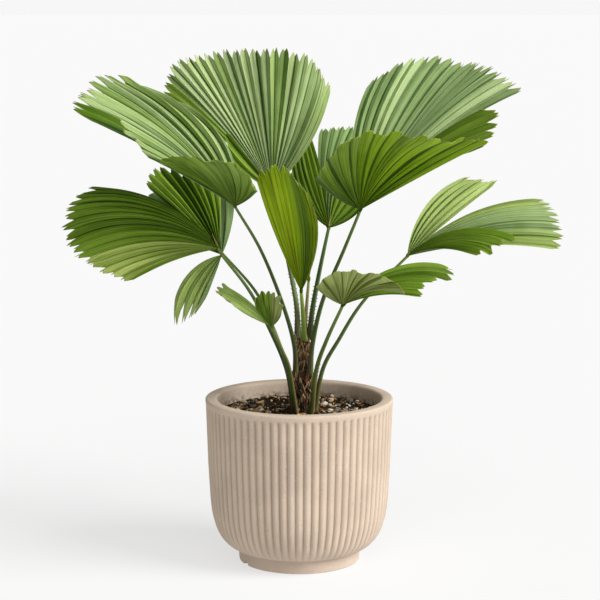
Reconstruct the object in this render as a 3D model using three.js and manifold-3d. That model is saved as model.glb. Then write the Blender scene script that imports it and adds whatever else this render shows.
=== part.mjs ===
// A potted fan palm: fluted stoneware pot, filled with soil, a short fibrous trunk,
// eleven leaf stalks and the pleated fans they carry. Millimetres, +Z up, the viewer
// looks along +Y. The origin is the centre of the pot's flat underside.
import * as THREE from 'three';
import { mergeVertices } from 'three/addons/utils/BufferGeometryUtils.js';
import Module from 'manifold-3d';

const wasm = await Module();
wasm.setup();

const DEG = Math.PI / 180;
const CLEAR = 0.3;
const NEAR = 0.5;

// Pot
const FLUTES = 72;
const FLUTE_DEPTH = 2.6;
const FLUTE_TOP = 258;
const FLUTE_FULL = 253;
const FLUTE_FOOT = 22;
const FLUTE_FADE = 60;
const FOOT_SHARE = 0.4;
const RIM_Z = 265;
const POT_PROFILE = [
  [0, 0], [96.6, 0], [99, FLUTE_FOOT], [111, 25.5], [122.5, 35], [132.6, 51], [140, 76],
  [143.2, 103], [146.4, 160], [149.4, FLUTE_FULL], [149.8, FLUTE_TOP], [150.2, 263],
  [148.7, RIM_Z], [0, RIM_Z],
];
const NOTCH = { turn: -62, width: 16, height: 6, depth: 14, radius: 97, sides: 16 };

// The hollow inside the pot, and the soil that fills it
const FLOOR_Z = 20;
const SOIL_Z = 240;
const HOLLOW_BOWL = [[84, FLOOR_Z], [106, 30], [119, 52], [124.5, 90]];
const HOLLOW_LIP = [[129, 259], [132, RIM_Z + 1]];
const SOIL_EDGE = [128.5, SOIL_Z];
const TURN_STEPS = 56;

// Trunk: its foot flares out by `flare` over the lowest `flareShare` of its height
const TRUNK = {
  x: 5, y: 0, top: 357, footRadius: 13, topRadius: 11.5,
  rings: 6, relief: 0.7, flare: 1.5, flareShare: 0.25, sides: 18,
};

// Leaf stalks, and the block that trims their feet level
const STALK = { foot: 4.9, middle: 3.9, hub: 2.6, middleAt: 0.35, sides: 6, steps: 8 };
const SAW = { width: 80, depth: 120, height: 30 };

// Fans
const ROWS = 4;
const SHORT_ROWS = 3;
const SHORT = 200;
const ROOT = 4;
const KNOB = 6;
const NOTCH_CUT = 0.06;
const PLEAT = 0.1;
const PLEAT_MAX = 3;
const SLIMNESS = 96;
const SMOOTHED = 0.1;
const PART_GAP = 1;
const RAY_STEPS = 12;

// Each fan hangs on its hub. A ray is [bearing, lean, end bearing, end lean, length]:
// the bearing is in degrees clockwise from straight up as the viewer sees it, the lean in
// degrees out of the upright plane towards the viewer, and both turn evenly on the way
// from hub to tip. A lobe is `folds` leaflets spread between its rays. `via` are the
// points that the stalk passes on its way to the hub.
const FRONDS = {
  top: {
    hub: [-44, 78, 591],
    via: [[-2, 4, TRUNK.top], [-5, 20, 415], [-20, 48, 487]],
    colour: '#86a070',
    parts: {
      blade: [
        {
          folds: 22, rays: [
            [-40, -6, -63, -22, 240],
            [-33, -6, -41, -22, 265],
            [-21, -5, -23, -24, 243],
            [-4, -3, -5, -18, 228],
            [18, -5, 11, -15, 222],
            [49, -12, 13, -22, 197],
          ],
        },
        {
          folds: 2, rays: [
            [-70, -2, -34, -6, 96],
            [-37, -3, -38, -9, 118],
          ],
        },
      ],
    },
  },
  upper_left: {
    hub: [-99, -55, 576],
    via: [[-6, -15, 300], [-8, -18, 353], [-28, -26, 425], [-60, -42, 507]],
    colour: '#7f9a68',
    parts: {
      blade_back: [
        {
          folds: 11, cut: 0.09, rays: [
            [14, -14, -92, -34, 247],
            [-26, -14, -67, -26, 313],
            [-39, -6, -69, -12, 298],
            [-48, 8, -68, 20, 287],
          ],
        },
        {
          folds: 4, rays: [
            [-41, 14, -59, 26, 242],
            [-51, 30, -63, 34, 188],
          ],
        },
      ],
      blade_front: [
        {
          folds: 9, rays: [
            [-44, 20, -67, 76, 204],
            [-30, 52, -31, 75, 247],
            [16, 60, -29, 77, 241],
            [58, 63, 16, 86, 228],
          ],
        },
      ],
    },
  },
  right: {
    hub: [94, -80, 574],
    via: [[17, -13, 300], [21, -20, 354], [37, -38, 427], [69, -62, 509]],
    colour: '#6f9440',
    parts: {
      blade_back: [
        {
          folds: 16, rays: [
            [-19, -26, 32, -44, 239],
            [9, -30, 40, -46, 317],
            [29, -22, 48, -36, 323],
            [32, -12, 59, -22, 314],
            [42, -4, 67, -12, 317],
          ],
        },
        {
          folds: 5, rays: [
            [37, 0, 65, 12, 258],
            [44, 8, 68, 24, 252],
            [50, 14, 72, 34, 220],
          ],
        },
      ],
      blade_front: [
        {
          folds: 15, rays: [
            [60, 16, 57, 42, 249],
            [26, 32, 55, 71, 248],
            [-11, 44, 9, 69, 231],
            [-66, 48, -27, 70, 184],
          ],
        },
      ],
    },
  },
  back: {
    hub: [48, 100, 525],
    via: [[16, 1, TRUNK.top], [21, 14, 403], [33, 52, 462]],
    colour: '#7c9a58',
    parts: {
      blade: [
        {
          folds: 6, rays: [
            [-61, -22, 14, -42, 175],
            [-3, -34, -22, -44, 195],
          ],
        },
        {
          folds: 9, rays: [
            [-18, -38, 7, -46, 204],
            [9, -44, 34, -54, 238],
            [84, -34, 22, -46, 122],
          ],
        },
      ],
    },
  },
  far_right: {
    hub: [173, 35, 487],
    via: [[25, -7, SOIL_Z], [37, 0, 308], [63, 8, 356], [103, 20, 417]],
    colour: '#6d9338',
    parts: {
      blade: [
        {
          folds: 5, rays: [
            [5, -20, 79, -42, 189],
            [50, -14, 57, -26, 199],
          ],
        },
        {
          folds: 8, rays: [
            [45, -6, 91, -12, 241],
            [55, -2, 96, -2, 254],
            [75, 4, 100, 6, 245],
          ],
        },
        {
          folds: 4, rays: [
            [43, 12, 115, 20, 194],
            [61, 36, 105, 46, 131],
          ],
        },
      ],
    },
  },
  left: {
    hub: [-127, -20, 506],
    via: [[-10, -13, SOIL_Z], [-18, -20, 312], [-42, -24, 384], [-70, -24, 441]],
    colour: '#5f8432',
    parts: {
      blade_back: [
        {
          folds: 9, rays: [
            [7, -44, -6, -56, 122],
            [-13, -40, -40, -50, 162],
            [-36, -36, -47, -44, 204],
            [-51, -28, -53, -32, 174],
          ],
        },
      ],
      blade_front: [
        {
          folds: 16, rays: [
            [-39, -24, -92, -10, 238],
            [-45, -12, -104, -3, 260],
            [-56, -4, -118, 3, 249],
            [-77, 12, -114, 16, 206],
            [-94, 30, -116, 42, 170],
          ],
        },
      ],
    },
  },
  back_left: {
    hub: [-126, 75, 484],
    via: [[-9, 15, SOIL_Z], [-20, 14, 306], [-47, 32, 368], [-81, 48, 430]],
    colour: '#8aa874',
    parts: {
      blade: [
        {
          folds: 2, rays: [
            [24, -16, -4, -30, 101],
            [-14, -34, -10, -46, 140],
          ],
        },
        {
          folds: 9, rays: [
            [-12, -42, -26, -54, 168],
            [-32, -48, -76, -56, 237],
            [-52, -40, -104, -46, 269],
            [-70, -30, -112, -26, 187],
          ],
        },
      ],
      blade_hanging: [
        {
          folds: 4, rays: [
            [-99, 4, -190, 8, 151],
            [-140, 14, -162, 14, 120],
            [-163, 22, -150, 22, 106],
          ],
        },
      ],
    },
  },
  young: {
    hub: [3, -45, 442],
    via: [[8, -7, TRUNK.top], [6, -24, 401]],
    colour: '#8fae2c',
    parts: {
      blade: [
        {
          folds: 10, rays: [
            [-26, 2, -16, 8, 194],
            [-6, 14, -13, 26, 216],
            [23, 24, -23, 44, 218],
            [25, 30, -5, 50, 177],
          ],
        },
      ],
    },
  },
  low_right: {
    hub: [67, -95, 428],
    via: [[19, -24, SOIL_Z], [27, -46, 317], [43, -66, 369]],
    colour: '#6d8c58',
    parts: {
      blade_back: [
        {
          folds: 6, rays: [
            [37, -10, 106, -14, 184],
            [46, -4, 106, -4, 184],
            [53, 4, 98, 4, 138],
            [65, 12, 98, 14, 120],
          ],
        },
      ],
      blade_front: [
        {
          folds: 9, rays: [
            [49, 22, 105, 38, 116],
            [24, 41, 36, 61, 115],
            [-2, 50, -6, 66, 126],
            [-63, 45, -22, 70, 112],
          ],
        },
      ],
    },
  },
  low_left: {
    hub: [-42, -85, 393],
    via: [[-5, -26, SOIL_Z], [-15, -48, 316], [-27, -62, 352]],
    colour: '#64893a',
    parts: {
      blade_back: [
        {
          folds: 5, rays: [
            [-33, -14, -66, -16, 102],
            [-46, -1, -69, 0, 103],
            [-63, 12, -53, 16, 71],
          ],
        },
      ],
      blade_front: [
        {
          folds: 6, rays: [
            [-48, 32, 0, 67, 94],
            [-2, 46, 2, 51, 98],
            [45, 50, -18, 82, 115],
          ],
        },
      ],
    },
  },
  spear: {
    hub: [15, 0, 454],
    via: [[8, 10, TRUNK.top], [12, 7, 413]],
    colour: '#7a8c34', slim: 0.85,
    parts: {
      blade: [
        {
          folds: 3, rays: [
            [-6, -4, 8, -2, 116],
            [14, 8, 2, 14, 93],
          ],
        },
      ],
    },
  },
};

const LOOKS = {
  pot: { color: '#cbb7a2', roughness: 0.75 },
  soil: { color: '#3b3028', roughness: 0.95 },
  trunk: { color: '#5c442f', roughness: 0.9 },
  stalk: { color: '#43592b', roughness: 0.55 },
};
const LEAF_ROUGHNESS = 0.6;

/** A closed geometry as a solid: only positions are kept, and shared corners are joined. */
function solid(geometry) {
  geometry.deleteAttribute('normal');
  geometry.deleteAttribute('uv');
  const merged = mergeVertices(geometry, 1e-4);
  return new wasm.Manifold(new wasm.Mesh({
    numProp: 3,
    vertProperties: new Float32Array(merged.attributes.position.array),
    triVerts: new Uint32Array(merged.index.array),
  }));
}

/** A solid as a geometry for the scene. */
function geometryOf(body) {
  const mesh = body.getMesh();
  const geometry = new THREE.BufferGeometry();
  geometry.setAttribute('position', new THREE.BufferAttribute(new Float32Array(mesh.vertProperties), 3));
  geometry.setIndex(new THREE.BufferAttribute(new Uint32Array(mesh.triVerts), 1));
  geometry.computeVertexNormals();
  return geometry;
}

/** Moves each vertex of a geometry to where `place` puts it. */
function bend(geometry, place) {
  const position = geometry.attributes.position;
  const point = new THREE.Vector3();
  for (let i = 0; i < position.count; i += 1) {
    point.fromBufferAttribute(position, i);
    const target = place(point);
    position.setXYZ(i, target.x, target.y, target.z);
  }
  return geometry;
}

/** A profile of [radius, height] pairs turned about +Z. */
function turned(profile, segments) {
  const points = profile.map(([radius, height]) => new THREE.Vector2(radius, height));
  return new THREE.LatheGeometry(points, segments).rotateX(Math.PI / 2);
}

const smooth = (low, high, value) => THREE.MathUtils.smoothstep(value, low, high);

/** The pot: a turned body with a groove at every other column, hollowed and notched. */
function pot() {
  const outer = bend(turned(POT_PROFILE, 2 * FLUTES), (point) => {
    const radius = Math.hypot(point.x, point.y);
    const column = Math.round(Math.atan2(point.y, point.x) / (Math.PI / FLUTES));
    const inFlutes = radius > NEAR && point.z > FLUTE_FOOT + NEAR && point.z < FLUTE_TOP - NEAR;
    if (!inFlutes || column % 2 === 0) {
      return point;
    }
    const share = THREE.MathUtils.lerp(FOOT_SHARE, 1, smooth(FLUTE_FOOT, FLUTE_FADE, point.z));
    const inward = 1 - share * FLUTE_DEPTH / radius;
    return point.multiply(new THREE.Vector3(inward, inward, 1));
  });
  const hollow = [[0, FLOOR_Z], ...HOLLOW_BOWL, ...HOLLOW_LIP, [0, RIM_Z + 1]];
  let body = solid(outer).subtract(solid(turned(hollow, TURN_STEPS)));
  for (const turn of [NOTCH.turn, NOTCH.turn + 180]) {
    const arch = new THREE.CylinderGeometry(1, 1, NOTCH.depth, NOTCH.sides)
      .scale(NOTCH.width / 2, 1, NOTCH.height)
      .translate(0, -NOTCH.radius, 0)
      .rotateZ(turn * DEG);
    body = body.subtract(solid(arch));
  }
  return body;
}

/** The soil that fills the pot, clear of its wall and floor. */
function soil() {
  const skin = HOLLOW_BOWL.map(([radius, height]) => [radius - 2 * CLEAR, height + CLEAR]);
  const edge = [SOIL_EDGE[0] - 2 * CLEAR, SOIL_EDGE[1]];
  return solid(turned([[0, FLOOR_Z + CLEAR], ...skin, edge, [0, SOIL_Z]], TURN_STEPS));
}

/** The short stem: it tapers, and the scars of old leaves ring it. */
function trunk() {
  const height = TRUNK.top - SOIL_Z - CLEAR;
  const rows = 2 * TRUNK.rings;
  const column = new THREE.CylinderGeometry(1, 1, 1, TRUNK.sides, rows).rotateX(Math.PI / 2);
  return solid(bend(column, (point) => {
    const t = point.z + 0.5;
    const ring = Math.round(t * rows) % 2 === 0 ? TRUNK.relief : -TRUNK.relief;
    const flare = TRUNK.flare * (1 - smooth(0, TRUNK.flareShare, t));
    const radius = THREE.MathUtils.lerp(TRUNK.footRadius, TRUNK.topRadius, t) + ring + flare;
    return new THREE.Vector3(
      TRUNK.x + point.x * radius, TRUNK.y + point.y * radius, SOIL_Z + CLEAR + t * height,
    );
  }));
}

/** How thick a stalk is at t, from its foot at 0 to the hub at 1. */
function stalkRadius(t, slim) {
  const { foot, middle, hub, middleAt } = STALK;
  const radius = t < middleAt
    ? THREE.MathUtils.lerp(foot, middle, t / middleAt)
    : THREE.MathUtils.lerp(middle, hub, (t - middleAt) / (1 - middleAt));
  return radius * slim;
}

/** A leaf stalk: a tapering tube along its curve, stopped short of the hub's knob. */
function stalk(frond) {
  const slim = frond.slim ?? 1;
  const points = [...frond.via, frond.hub].map((p) => new THREE.Vector3(...p));
  const curve = new THREE.CatmullRomCurve3(points, false, 'catmullrom', 0.5);
  const end = 1 - (KNOB + CLEAR) / curve.getLength();
  const frames = curve.computeFrenetFrames(STALK.steps, false);
  const tube = new THREE.CylinderGeometry(1, 1, 1, STALK.sides, STALK.steps).rotateX(Math.PI / 2);
  const body = solid(bend(tube, (point) => {
    const step = Math.round((point.z + 0.5) * STALK.steps);
    const t = step / STALK.steps;
    const radius = stalkRadius(t, slim);
    return curve.getPointAt(t * end)
      .addScaledVector(frames.normals[step], point.x * radius)
      .addScaledVector(frames.binormals[step], point.y * radius);
  }));
  const foot = frond.via[0][2];
  const under = new THREE.BoxGeometry(SAW.width, SAW.depth, SAW.height)
    .translate(0, 0, foot + CLEAR - SAW.height / 2);
  return foot === SOIL_Z || foot === TRUNK.top ? body.subtract(solid(under)) : body;
}

/** The value at t of an even Catmull-Rom run through rows of numbers. */
function between(rows, t) {
  const last = rows.length - 1;
  const mirror = (a, b) => a.map((value, k) => 2 * value - b[k]);
  const run = [mirror(rows[0], rows[1]), ...rows, mirror(rows[last], rows[last - 1])];
  const span = Math.min(Math.floor(t * last), last - 1);
  const f = t * last - span;
  const [a, b, c, d] = run.slice(span, span + 4);
  return b.map((value, k) => 0.5 * (
    2 * value + (c[k] - a[k]) * f + (2 * a[k] - 5 * value + 4 * c[k] - d[k]) * f * f
    + (3 * value - a[k] - 3 * c[k] + d[k]) * f * f * f
  ));
}

/** The point at `distance` along a ray from its hub. */
function alongRay(hub, [bearing, lean, endBearing, endLean, length], distance) {
  const point = new THREE.Vector3(...hub);
  for (let i = 0; i < RAY_STEPS; i += 1) {
    const t = (i + 0.5) / RAY_STEPS * (distance / length);
    const b = THREE.MathUtils.lerp(bearing, endBearing, t) * DEG;
    const l = THREE.MathUtils.lerp(lean, endLean, t) * DEG;
    const stride = distance / RAY_STEPS;
    point.x += stride * Math.cos(l) * Math.sin(b);
    point.y -= stride * Math.sin(l);
    point.z += stride * Math.cos(l) * Math.cos(b);
  }
  return point;
}

/**
 * One lobe: a pleated sheet between its rays, with a point at each leaflet's tip.
 * `extra` makes it thicker and wider, for cutting a neighbour clear of it.
 */
function lobe(hub, { rays, folds, cut = NOTCH_CUT }, extra) {
  const columns = 2 * folds;
  const longest = Math.max(...rays.map((ray) => ray[4]));
  const rows = longest < SHORT ? SHORT_ROWS : ROWS;
  const thickness = longest / SLIMNESS + extra;
  const grid = [];
  for (let column = 0; column <= columns; column += 1) {
    const ray = between(rays, column / columns);
    const reach = ray[4] * (column % 2 === 0 ? 1 - cut : 1);
    const line = [];
    for (let row = 0; row <= rows; row += 1) {
      line.push(alongRay(hub, ray, THREE.MathUtils.lerp(ROOT, reach, row / rows)));
    }
    grid.push(line);
  }
  const inside = (index, last) => THREE.MathUtils.clamp(index, 0, last);
  const at = (column, row) => grid[inside(column, columns)][inside(row, rows)];
  const sheet = new THREE.BoxGeometry(1, 1, 1, columns, rows, 1);
  return solid(bend(sheet, (point) => {
    const column = Math.round((point.x + 0.5) * columns);
    const row = Math.round((point.y + 0.5) * rows);
    const across = at(column + 1, row).clone().sub(at(column - 1, row));
    const along = at(column, row + 1).clone().sub(at(column, row - 1));
    const normal = across.clone().cross(along).normalize();
    const pleat = Math.min(PLEAT_MAX, PLEAT * across.length()) * (column % 2 === 0 ? 1 : -1);
    const aside = Math.sign(2 * point.x) * Number(column % columns === 0) * extra;
    return at(column, row).clone()
      .addScaledVector(across.normalize(), aside)
      .addScaledVector(normal, pleat + point.z * thickness);
  }));
}

/** All lobes of one part fused, with the knob at the hub when it has one. */
function blade(frond, lobes, withKnob, extra = 0) {
  let body = null;
  for (const shape of lobes) {
    const sheet = lobe(frond.hub, shape, extra);
    body = body ? body.add(sheet) : sheet;
  }
  if (!withKnob) {
    return body;
  }
  const ball = new THREE.IcosahedronGeometry(KNOB * (frond.slim ?? 1) + extra, 1);
  return body.add(solid(ball.translate(...frond.hub)));
}

/** The biggest single piece of a solid. */
function largest(body) {
  return body.decompose().sort((a, b) => b.volume() - a.volume())[0];
}

const plant = new THREE.Group();

function addNode(name, body, look) {
  const material = new THREE.MeshStandardMaterial({ ...look, metalness: 0 });
  const mesh = new THREE.Mesh(geometryOf(body), material);
  mesh.name = name;
  plant.add(mesh);
}

addNode('pot', pot(), LOOKS.pot);
addNode('soil', soil(), LOOKS.soil);
addNode('trunk', trunk(), LOOKS.trunk);

for (const [place, frond] of Object.entries(FRONDS)) {
  addNode(`${place}_stalk`, stalk(frond), LOOKS.stalk);
  const parts = Object.entries(frond.parts);
  parts.forEach(([part, lobes], index) => {
    let body = blade(frond, lobes, index === 0);
    if (index > 0) {
      body = body.subtract(blade(frond, parts[0][1], true, PART_GAP));
    }
    const look = { color: frond.colour, roughness: LEAF_ROUGHNESS };
    addNode(`${place}_${part}`, largest(body).simplify(SMOOTHED), look);
  });
}

export default plant;
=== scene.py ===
"""The looks of a potted fan palm, dressed round its CAD frame.

Lengths are worked out in millimetres and put into the meshes in metres. +Z is up, the
viewer looks along +Y, and the origin is the centre of the pot's flat underside.
"""
import logging
import math
from dataclasses import dataclass, field
from enum import Enum
from typing import Any, Sequence

import bpy
import numpy as np
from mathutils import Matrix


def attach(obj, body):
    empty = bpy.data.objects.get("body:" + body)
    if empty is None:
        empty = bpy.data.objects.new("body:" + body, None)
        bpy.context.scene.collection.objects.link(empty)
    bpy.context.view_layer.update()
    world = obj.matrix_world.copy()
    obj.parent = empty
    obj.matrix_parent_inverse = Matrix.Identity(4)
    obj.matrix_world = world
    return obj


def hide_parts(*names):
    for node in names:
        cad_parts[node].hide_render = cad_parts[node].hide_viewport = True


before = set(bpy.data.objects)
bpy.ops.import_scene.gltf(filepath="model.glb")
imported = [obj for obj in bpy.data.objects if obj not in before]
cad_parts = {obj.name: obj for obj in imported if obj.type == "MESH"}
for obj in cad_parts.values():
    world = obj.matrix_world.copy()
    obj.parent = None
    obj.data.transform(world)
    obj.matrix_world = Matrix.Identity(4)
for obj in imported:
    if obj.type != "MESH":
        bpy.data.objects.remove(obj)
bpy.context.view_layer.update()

LOG = logging.getLogger("palm")
MM = 0.001
BODY = "root"
TO_VIEWER = np.array([0.0, -0.988, 0.152])
STEADY = np.array([0.31, 0.22, 0.92])
SOIL_Z = 240.0
TRUNK_TOP = 357.0
STEM_X = 5.0

Row = tuple[float, ...]


# ---------------------------------------------------------------- numbers and arrays


def smooth(low: float, high: float, value: Any) -> Any:
    """The smooth step 3x^2 - 2x^3, with x the share of the way from low to high."""
    x = np.clip((value - low) / (high - low), 0.0, 1.0)
    return x * x * (3.0 - 2.0 * x)


def lerp(start: Any, end: Any, share: Any) -> Any:
    """The value a share of the way from start to end."""
    return start + (end - start) * share


def unit(vectors: np.ndarray) -> np.ndarray:
    """The vectors along the last axis, each divided by its own length."""
    return vectors / np.maximum(np.linalg.norm(vectors, axis=-1, keepdims=True), 1e-9)


def catmull(rows: np.ndarray, t: np.ndarray) -> np.ndarray:
    """An even Catmull-Rom run through rows, whose end rows are mirrored for its tangents.

    Args:
        rows: The values to run through, one row each.
        t: Where to read it, from 0 at the first row to 1 at the last.

    Returns:
        One row for each entry of t.
    """
    last = len(rows) - 1
    run = np.vstack([2 * rows[0] - rows[1], rows, 2 * rows[last] - rows[last - 1]])
    span = np.clip((t * last).astype(int), 0, last - 1)
    f = (t * last - span)[:, None]
    a, b, c, d = (run[span + step] for step in range(4))
    return 0.5 * (
        2 * b + (c - a) * f + (2 * a - 5 * b + 4 * c - d) * f**2
        + (3 * b - a - 3 * c + d) * f**3
    )


def noise(points: np.ndarray, size: float, seed: int, octaves: int = 1) -> np.ndarray:
    """Smooth noise from -1 to 1: hashed values on a cubic lattice, blended by smooth steps.

    Args:
        points: Where to read it, three numbers along the last axis.
        size: The width of a lattice cell.
        seed: Picks another field.
        octaves: How many fields, each twice as fine and half as strong, are added.

    Returns:
        One value for each point.
    """
    total = np.zeros(points.shape[:-1])
    strength = 0.0
    for octave in range(octaves):
        place = points / size * 2.0**octave + 17.3 * octave
        cell = np.floor(place).astype(np.int64)
        f = place - cell
        f = f * f * (3.0 - 2.0 * f)
        for corner in np.ndindex(2, 2, 2):
            x, y, z = ((cell[..., k] + corner[k]) for k in range(3))
            mixed = (x * 374761393 + y * 668265263 + z * 1442695041 + seed * 97531) & 0xFFFFFFFF
            mixed = ((mixed ^ (mixed >> 13)) * 1274126177) & 0xFFFFFFFF
            value = ((mixed ^ (mixed >> 16)) & 0xFFFFFFFF) / 2.0**31 - 1.0
            share = np.prod(np.where(np.array(corner) == 1, f, 1.0 - f), axis=-1)
            total += value * share * 0.5**octave
        strength += 0.5**octave
    return total / strength


def spread(value: Any, count: int, width: int) -> np.ndarray:
    """One number, one row, or rows laid out in any grid, as `count` rows of `width` numbers.

    Args:
        value: What to lay out.
        count: How many rows.
        width: How many numbers in a row.

    Returns:
        (count, width).
    """
    rows = np.asarray(value, float)
    if rows.ndim:
        rows = rows.reshape(-1, rows.shape[-1])
    return np.broadcast_to(rows, (count, width))


def together(*parts: Any) -> np.ndarray:
    """The parts side by side along a new last axis, each spread to the shape they share."""
    return np.stack(np.broadcast_arrays(*parts), axis=-1)


def wheel(far: Any, turn: Any, height: Any, x: float = 0.0, y: float = 0.0) -> np.ndarray:
    """Points a distance and a turn away from an upright line at x and y, at a height."""
    return together(x + far * np.cos(turn), y + far * np.sin(turn), height)


def linear(red: float, green: float, blue: float) -> tuple[float, float, float, float]:
    """A colour of screen values from 0 to 255 as the linear colour that a shader takes.

    Args:
        red: 0 to 255.
        green: 0 to 255.
        blue: 0 to 255.

    Returns:
        Red, green, blue and an alpha of 1.
    """
    share = np.array([red, green, blue]) / 255.0
    value = np.where(share <= 0.04045, share / 12.92, ((share + 0.055) / 1.055) ** 2.4)
    return (float(value[0]), float(value[1]), float(value[2]), 1.0)


# ---------------------------------------------------------------- shapes


@dataclass
class Shape:
    """Part of a mesh: points in millimetres, faces, and what the finishes read.

    A face is four corner numbers, with -1 in the last place for a triangle. `finish` picks
    a face's material, `uv` and `trait` hold two and three numbers for each point.
    """

    points: np.ndarray
    faces: np.ndarray
    finish: np.ndarray
    uv: np.ndarray
    trait: np.ndarray

    @staticmethod
    def of(
        points: np.ndarray, faces: np.ndarray, finish: Any = 0, uv: Any = 0.0, trait: Any = 0.0,
    ) -> "Shape":
        """A shape whose finish, uv and trait may be given as one value for all.

        Args:
            points: Points in any grid, three numbers along the last axis.
            faces: Four corner numbers for each face.
            finish: One material, or one for each face.
            uv: One number, one pair, or a pair for each point.
            trait: One number, one set of three, or a set for each point.

        Returns:
            The shape.
        """
        flat = points.reshape(-1, 3)
        count = len(flat)
        materials = np.broadcast_to(finish, len(faces)).astype(int)
        return Shape(flat, faces, materials, spread(uv, count, 2), spread(trait, count, 3))

    @staticmethod
    def joined(shapes: Sequence["Shape"]) -> "Shape":
        """Several shapes as one.

        Args:
            shapes: What to join, in their order.

        Returns:
            One shape with the points and faces of all.
        """
        starts = np.cumsum([0] + [len(shape.points) for shape in shapes[:-1]])
        faces = [
            np.where(shape.faces < 0, -1, shape.faces + start)
            for shape, start in zip(shapes, starts)
        ]
        return Shape(
            np.vstack([shape.points for shape in shapes]),
            np.vstack(faces),
            np.concatenate([shape.finish for shape in shapes]),
            np.vstack([shape.uv for shape in shapes]),
            np.vstack([shape.trait for shape in shapes]),
        )


def grid_faces(columns: int, rows: int, wrap: bool = False, flip: bool = False) -> np.ndarray:
    """The quads of a grid of points held column by column.

    They face along (next column) x (next row).

    Args:
        columns: How many columns of points.
        rows: How many points in a column.
        wrap: Whether the last column joins the first.
        flip: Whether the quads face the other way.

    Returns:
        Four corner numbers for each quad.
    """
    first = np.arange(columns if wrap else columns - 1)[:, None] * rows
    second = (first + rows) % (columns * rows)
    row = np.arange(rows - 1)
    a = first + row
    b = second + row
    quads = together(a, b, b + 1, a + 1).reshape(-1, 4)
    return quads[:, ::-1] if flip else quads


def cap_faces(ring: np.ndarray, pole: int, flip: bool = False) -> np.ndarray:
    """Triangles from a closed ring of points to one point, facing along the ring's turn.

    Args:
        ring: The numbers of the points round it.
        pole: The number of the one point.
        flip: Whether they face the other way.

    Returns:
        Four corner numbers for each triangle, the last of them -1.
    """
    following = np.roll(ring, -1)
    none = np.full(len(ring), -1)
    corners = [following, ring] if flip else [ring, following]
    return np.stack([*corners, np.full(len(ring), pole), none], axis=-1)


def turned(points: np.ndarray, trait: Any) -> Shape:
    """A closed surface of rings, each end drawn to a point at its ring's centre.

    Args:
        points: Rings of points, as (columns round, rows from one end to the other, 3).
        trait: Three numbers for each point, in the same layout, or one set for all.

    Returns:
        The surface, facing outwards when the columns turn left about the rows' direction.
    """
    columns, rows = points.shape[:2]
    ends = np.stack([points[:, 0].mean(axis=0), points[:, -1].mean(axis=0)])
    grid_trait = np.broadcast_to(trait, (columns, rows, 3))
    share = np.linspace(0.0, 1.0, rows)
    uv = np.stack(np.meshgrid(np.arange(columns) / columns, share, indexing="ij"), axis=-1)
    last = columns * rows
    ring = np.arange(columns) * rows
    faces = np.vstack([
        grid_faces(columns, rows, wrap=True),
        cap_faces(ring, last, flip=True),
        cap_faces(ring + rows - 1, last + 1),
    ])
    return Shape.of(
        np.vstack([points.reshape(-1, 3), ends]),
        faces,
        0,
        np.vstack([uv.reshape(-1, 2), [[0.0, 0.0], [0.0, 1.0]]]),
        np.vstack([grid_trait.reshape(-1, 3), grid_trait[0, 0], grid_trait[0, -1]]),
    )


def frames_along(
    path: np.ndarray, reference: np.ndarray,
) -> tuple[np.ndarray, np.ndarray, np.ndarray]:
    """Unit vectors that go with a path: along it, to its side, and out of it.

    The side is tangent x reference, and out is side x tangent.

    Args:
        path: Points along the last but one axis.
        reference: The direction that `out` keeps as near to as it can.

    Returns:
        Tangent, side and out, each shaped as the path.
    """
    tangent = unit(np.gradient(path, axis=-2))
    side = unit(np.cross(tangent, np.broadcast_to(reference, tangent.shape)))
    return tangent, side, np.cross(side, tangent)


def tube(
    path: np.ndarray, radius: np.ndarray, sides: int, reference: np.ndarray, trait: Any,
) -> Shape:
    """A round tube of changing radius along a path, closed at both ends.

    Args:
        path: Its centre line, (rows, 3).
        radius: Its radius at each row.
        sides: How many columns go round it.
        reference: Steadies its turn, see frames_along.
        trait: What its points carry, (rows, 3) or one set.

    Returns:
        The closed tube.
    """
    _, side, out = frames_along(path, reference)
    angle = around(sides)[..., None]
    ring = np.cos(angle) * side - np.sin(angle) * out
    return turned(path + ring * np.reshape(radius, (-1, 1)), trait)


def strands(
    paths: np.ndarray, radius: np.ndarray, sides: int, trait: np.ndarray, finish: Any = 0,
) -> Shape:
    """Many thin tapering tubes at once, each closed by a fan of triangles at both ends.

    Args:
        paths: Centre lines, (count, rows, 3).
        radius: Radii, (count, rows); near nothing at both ends.
        sides: How many columns go round each.
        trait: Three numbers for each strand.
        finish: One material, or one for each strand.

    Returns:
        All of them as one shape.
    """
    count, rows = paths.shape[:2]
    _, side, out = frames_along(paths, STEADY)
    angle = around(sides)[..., None]
    ring = np.cos(angle) * side[:, None] - np.sin(angle) * out[:, None]
    body = paths[:, None] + ring * radius[:, None, :, None]
    poles = paths[:, [0, -1]]
    points = np.concatenate([body.reshape(count, -1, 3), poles], axis=1)
    last = sides * rows
    first = np.arange(sides) * rows
    faces = np.vstack([
        grid_faces(sides, rows, wrap=True),
        cap_faces(first, last, flip=True),
        cap_faces(first + rows - 1, last + 1),
    ])
    return repeated(points, faces, trait, finish)


def repeated(points: np.ndarray, faces: np.ndarray, trait: np.ndarray, finish: Any = 0) -> Shape:
    """Copies of one small net of faces over many sets of points.

    Args:
        points: (count, points in one, 3).
        faces: The net of one copy.
        trait: Three numbers for each copy.
        finish: One material, or one for each copy.

    Returns:
        All copies as one shape.
    """
    count, size = points.shape[:2]
    offset = (np.arange(count) * size)[:, None, None]
    many = np.where(faces[None] < 0, -1, faces[None] + offset).reshape(-1, 4)
    materials = np.repeat(np.broadcast_to(finish, count), len(faces))
    return Shape.of(points, many, materials, 0.0, np.repeat(trait, size, axis=0))


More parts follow.
